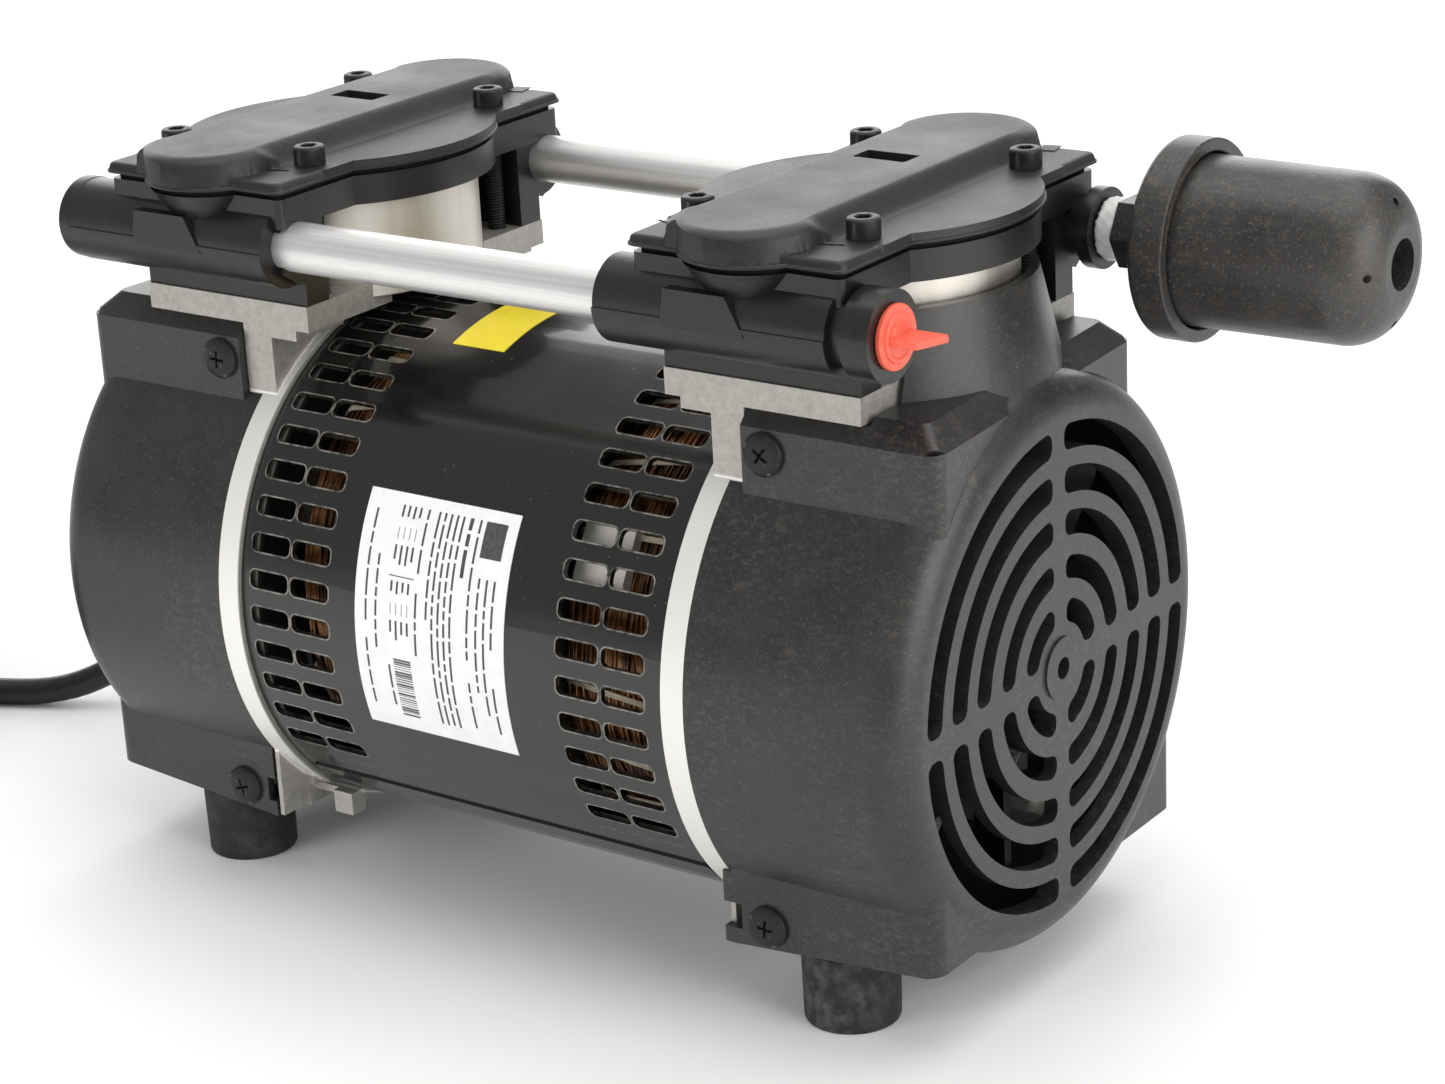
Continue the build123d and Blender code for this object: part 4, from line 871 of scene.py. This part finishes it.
# ------------------------------------------------------------------ sealing tape, wound on the thread of the filter nipple
rng = random.Random(8)
N = 120
ph = [rng.uniform(0, 6.28) for _ in range(8)]
rows = [(119.15, 6.5), (119.3, 7.2), (119.9, 7.5), (120.6, 7.7), (121.3, 7.5), (121.9, 7.8), (122.6, 7.5), (123.3, 7.7),
        (123.9, 7.4), (124.15, 6.9), (124.1, 6.5)]
vs, fs = [], []
for i, (x, r0) in enumerate(rows):
    for k in range(N):
        a = 2 * math.pi * k / N
        fray = 0.0 if 1 < i < 8 else 0.22 * math.sin(23 * a + ph[i % 8]) + 0.16 * math.sin(41 * a + ph[(i + 3) % 8])
        wr = 0.16 * math.sin(7 * a + ph[1] + i * 0.9) + 0.10 * math.sin(17 * a + ph[2] - i * 1.3)
        lap = 0.28 if (a + i * 0.16) % (2 * math.pi) < 2.1 else 0.0
        rr = max(r0 + wr + (lap if 0 < i < 9 else 0.0), 6.4)
        vs.append(((x + fray * 0.6 + 0.15 * math.sin(a + ph[4])) * MM, (50.4 + rr * math.cos(a)) * MM,
                   (176.5 + rr * math.sin(a)) * MM))
for i in range(len(rows) - 1):
    for k in range(N):
        k2 = (k + 1) % N
        fs.append((i * N + k, i * N + k2, (i + 1) * N + k2, (i + 1) * N + k))
o = new_mesh("wound_tape", vs, [tuple(reversed(f)) for f in fs], MATS["white_tape"])
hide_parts("thread_tape")

# ------------------------------------------------------------------ raised boss on the face of the port plug
def x_lathe(rows, cx, cy, cz, n=72):
    vs, fs = [], []
    for r, x in rows:
        for k in range(n):
            a = 2 * math.pi * k / n
            vs.append(((cx + x) * MM, (cy + r * math.cos(a)) * MM, (cz + r * math.sin(a)) * MM))
    for i in range(len(rows) - 1):
        for k in range(n):
            k2 = (k + 1) % n
            fs.append((i * n + k, i * n + k2, (i + 1) * n + k2, (i + 1) * n + k))
    return vs, fs


vs, fs = x_lathe([(5.9, -0.1), (5.85, 0.35), (5.6, 0.6), (4.9, 0.62), (4.6, 0.42), (3.6, 0.40), (3.3, 0.7), (0.01, 0.75)],
                 122.95, -50.4, 176.5)
new_mesh("port_plug_boss", vs, fs, MATS["red_plastic"], body="port_plug")

# ------------------------------------------------------------------ print on the labels: plain bars and ruled boxes
INK = Mat("printing_ink", spec=0.4)
n1 = INK.noise(900.0, 3.0)
INK.set("base", INK.mix(INK.remap(n1, 0.3, 0.7, 0, 1), (0.045, 0.045, 0.050), (0.085, 0.085, 0.092)))
INK.set("rough", INK.remap(n1, 0.3, 0.7, 0.4, 0.5))
INK.bump(n1, 0.00001, 0.3)


def curved_bar(x0, x1, a0, a1, r=70.235, t=0.012):
    n = max(2, int((a1 - a0) / 1.2) + 2)
    vs, fs = [], []
    for k in range(n):
        a = math.radians(a0 + (a1 - a0) * k / (n - 1))
        for rr in (r, r + t):
            for x in (x0, x1):
                vs.append((x * MM, -rr * math.cos(a) * MM, (82.0 + rr * math.sin(a)) * MM))
    for k in range(n - 1):
        b = 4 * k
        fs += [(b + 2, b + 3, b + 7, b + 6), (b, b + 2, b + 6, b + 4), (b + 1, b + 5, b + 7, b + 3), (b, b + 4, b + 5, b + 1)]
    fs += [(0, 1, 3, 2), (4 * n - 4, 4 * n - 2, 4 * n - 1, 4 * n - 3)]
    return vs, fs


rng = random.Random(5)
bars = []
X1, A1, PER_MM = 19.0, 33.0, math.degrees(1 / 70.2)


def print_bar(p0, p1, q0, q1):
    """A bar in label millimetres: p runs down the label, q from its right edge to its left."""
    bars.append(curved_bar(X1 - q1, X1 - q0, A1 - p1 * PER_MM, A1 - p0 * PER_MM))


def print_line(q, p0, p1, height=0.62, words=(2.0, 7.0), gap=0.9):
    p = p0
    while p < p1 - 1.5:
        e = min(p + rng.uniform(*words), p1)
        print_bar(p, e, q, q + height)
        p = e + gap


print_bar(3.0, 12.0, 3.2, 9.8)
print_line(3.6, 17.0, 34.0)
print_line(3.6, 44.0, 57.0)
print_line(6.0, 17.0, 52.0)
print_line(8.4, 17.0, 46.0)
print_line(11.2, 3.0, 38.0)
print_line(11.2, 44.0, 57.0)
print_line(13.8, 3.0, 18.0, 1.1)
for k in range(5):
    print_line(16.6 + 1.9 * k, 3.0, 58.0 if k < 4 else 30.0)
print_line(27.6, 3.0, 20.0)
print_line(27.6, 24.0, 40.0)
for p0 in (3.0, 22.0):
    for k in range(4):
        print_line(30.2 + 1.8 * k, p0, p0 + 4.0, words=(2.5, 3.5))
        print_bar(p0 + 5.5, p0 + 8.5, 30.45 + 1.8 * k, 30.6 + 1.8 * k)
        print_line(30.2 + 1.8 * k, p0 + 10.0, p0 + 15.0, words=(3.0, 5.0))
print_bar(20.6, 20.85, 29.0, 37.0)
q = 31.0
for k in range(24):
    w = rng.choice((0.18, 0.3, 0.5))
    print_bar(42.0 + 0.68 * k, 42.0 + 0.68 * k + w, 30.0, 35.5)
print_line(36.8, 44.0, 56.0)
print_line(40.4, 16.0, 40.0)
print_line(43.6, 5.0, 34.0)
print_line(43.6, 38.0, 56.0)
vs, fs = merge(bars)
o = new_mesh("label_print", vs, fs, INK.m, smooth=False)

# ------------------------------------------------------------------ mains cord
ROUTE = [(-0.1540, 0.0220, 0.0294), (-0.1712, 0.0220, 0.0294), (-0.1872, 0.0184, 0.0242), (-0.2006, 0.0120, 0.0134),
         (-0.2195, 0.0024, 0.0040), (-0.2430, -0.0088, 0.0040), (-0.2680, -0.0192, 0.0040)]
CX, CY = -0.2768, -0.0772
PER = 20
step = 2 * math.pi / PER
grow = 1 / math.cos(step / 2)


def turn_point(theta, r, z):
    return (CX + r * grow * math.cos(theta), CY + r * grow * math.sin(theta), z)


pts = list(ROUTE)
th = math.radians(114.6)
r, z = 0.0485, 0.004
pitch = 0.0079
# bottom layer winds inwards, the middle one outwards and the top one starts inwards again
for layer, sign, turns in ((0, -1, 1.75), (1, 1, 1.75), (2, -1, 1.5)):
    for i in range(round(turns * PER)):
        pts.append(turn_point(th, r, z))
        th += step
        if layer < 2 or i < PER // 2:
            r += sign * pitch / PER
    if layer < 2:
        for i in range(4):
            pts.append(turn_point(th, r, z))
            th += step
            z += 0.0081 / 4
PLUG_IN = (-0.3038, -0.1212, 0.0350)


def cord_line(points, name):
    cu = bpy.data.curves.new(name, "CURVE")
    cu.dimensions = "3D"
    sp = cu.splines.new("NURBS")
    sp.points.add(len(points) - 1)
    for p, q in zip(sp.points, points):
        p.co = (q[0], q[1], q[2], 1.0)
    sp.order_u = 3
    sp.use_endpoint_u = True
    sp.resolution_u = 6
    cu.bevel_depth = 0.004
    cu.bevel_resolution = 6
    cu.use_fill_caps = True
    return cu


# the end climbs over the top layer and bends round to the plug, which lies on the coil
R_END = 0.0400
C2X, C2Y = PLUG_IN[0] - 0.006, PLUG_IN[1] + R_END
target = math.radians(270.0)
while target < th + math.radians(250):
    target += 2 * math.pi
n_end = round((target - th) / step)
for i in range(0, n_end):
    f = i / n_end
    g = f * f * (3 - 2 * f)
    a = th + (target - th) * f
    rr = r + (R_END - r) * g
    cx, cy = CX + (C2X - CX) * g, CY + (C2Y - CY) * g
    climb = min(f / 0.45, 1.0)
    zz = z + 0.0093 * climb * climb * (3 - 2 * climb) + (PLUG_IN[2] - z - 0.0093) * max((f - 0.45) / 0.55, 0.0)
    pts.append((cx + rr * grow * math.cos(a), cy + rr * grow * math.sin(a), zz))
pts.append((PLUG_IN[0] - 0.006, PLUG_IN[1], PLUG_IN[2]))
pts.append(PLUG_IN)
cord = bpy.data.objects.new("mains_cord", cord_line(pts, "mains_cord"))
COLL.objects.link(cord)
cord.data.materials.append(MATS["cord_pvc"])
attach(cord, "housing")
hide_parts("power_cord", "cord_coil")


def line_length(points):
    cu = cord_line(points, "measure")
    cu.bevel_depth = 0
    o = bpy.data.objects.new("measure", cu)
    COLL.objects.link(o)
    me = bpy.data.meshes.new_from_object(o)
    tot = 0.0
    co = [v.co.copy() for v in me.vertices]
    for e in me.edges:
        tot += (co[e.vertices[0]] - co[e.vertices[1]]).length
    bpy.data.objects.remove(o)
    bpy.data.curves.remove(cu)
    bpy.data.meshes.remove(me)
    return tot


CORD_LEN = round(line_length(pts), 4)
print("cord length", CORD_LEN)
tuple(ROUTE[0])

# ------------------------------------------------------------------ floor, light and camera
bpy.ops.mesh.primitive_plane_add(size=14, location=(0, 0, 0))
floor = bpy.context.object
floor.name = "studio_floor"
floor.data.materials.append(FLOOR_MAT)


def area(name, loc, target, size, power, size_y=None, color=(1, 1, 1)):
    li = bpy.data.lights.new(name, "AREA")
    li.shape = "RECTANGLE"
    li.size = size
    li.size_y = size_y or size
    li.energy = power
    li.color = color
    o = bpy.data.objects.new(name, li)
    COLL.objects.link(o)
    o.location = loc
    d = Vector(target) - Vector(loc)
    o.rotation_euler = d.to_track_quat("-Z", "Y").to_euler()
    return o


area("top_soft", (0.1, 0.2, 1.7), (0, 0, 0.1), 1.8, 20.0, color=(1.0, 0.985, 0.965))
area("back_soft", (-1.25, 1.7, 0.85), (0, 0, 0.12), 2.6, 29.0, size_y=1.5, color=(1.0, 0.98, 0.955))
area("right_soft", (1.8, -0.1, 0.7), (0.05, 0, 0.1), 1.4, 22.0, color=(1.0, 0.985, 0.97))
area("front_soft", (-0.75, -1.9, 0.50), (0, 0, 0.1), 1.3, 22.0, color=(1.0, 0.985, 0.965)).visible_glossy = False

world = bpy.data.worlds.new("studio")
bpy.context.scene.world = world
world.use_nodes = True
bg = world.node_tree.nodes["Background"]
bg.inputs[0].default_value = (1.0, 1.0, 1.0, 1.0)
bg.inputs[1].default_value = 0.44

cam = bpy.data.cameras.new("photo_camera")
cam.lens = 84.74
cam.sensor_width = 36.0
cam.clip_start = 0.01
cam.clip_end = 60.0
cam_o = bpy.data.objects.new("photo_camera", cam)
COLL.objects.link(cam_o)
R = Vector((0.8149, 0.5776, -0.0479)).normalized()
F = Vector((-0.5569, 0.7574, -0.3410)).normalized()
R = (R - F * R.dot(F)).normalized()
U = R.cross(F).normalized()
cam_o.matrix_world = Matrix((
    (R.x, U.x, -F.x, 0.515383), (R.y, U.y, -F.y, -0.653374), (R.z, U.z, -F.z, 0.391316), (0, 0, 0, 1)))
bpy.context.scene.camera = cam_o
bpy.context.scene.view_settings.view_transform = "Standard"
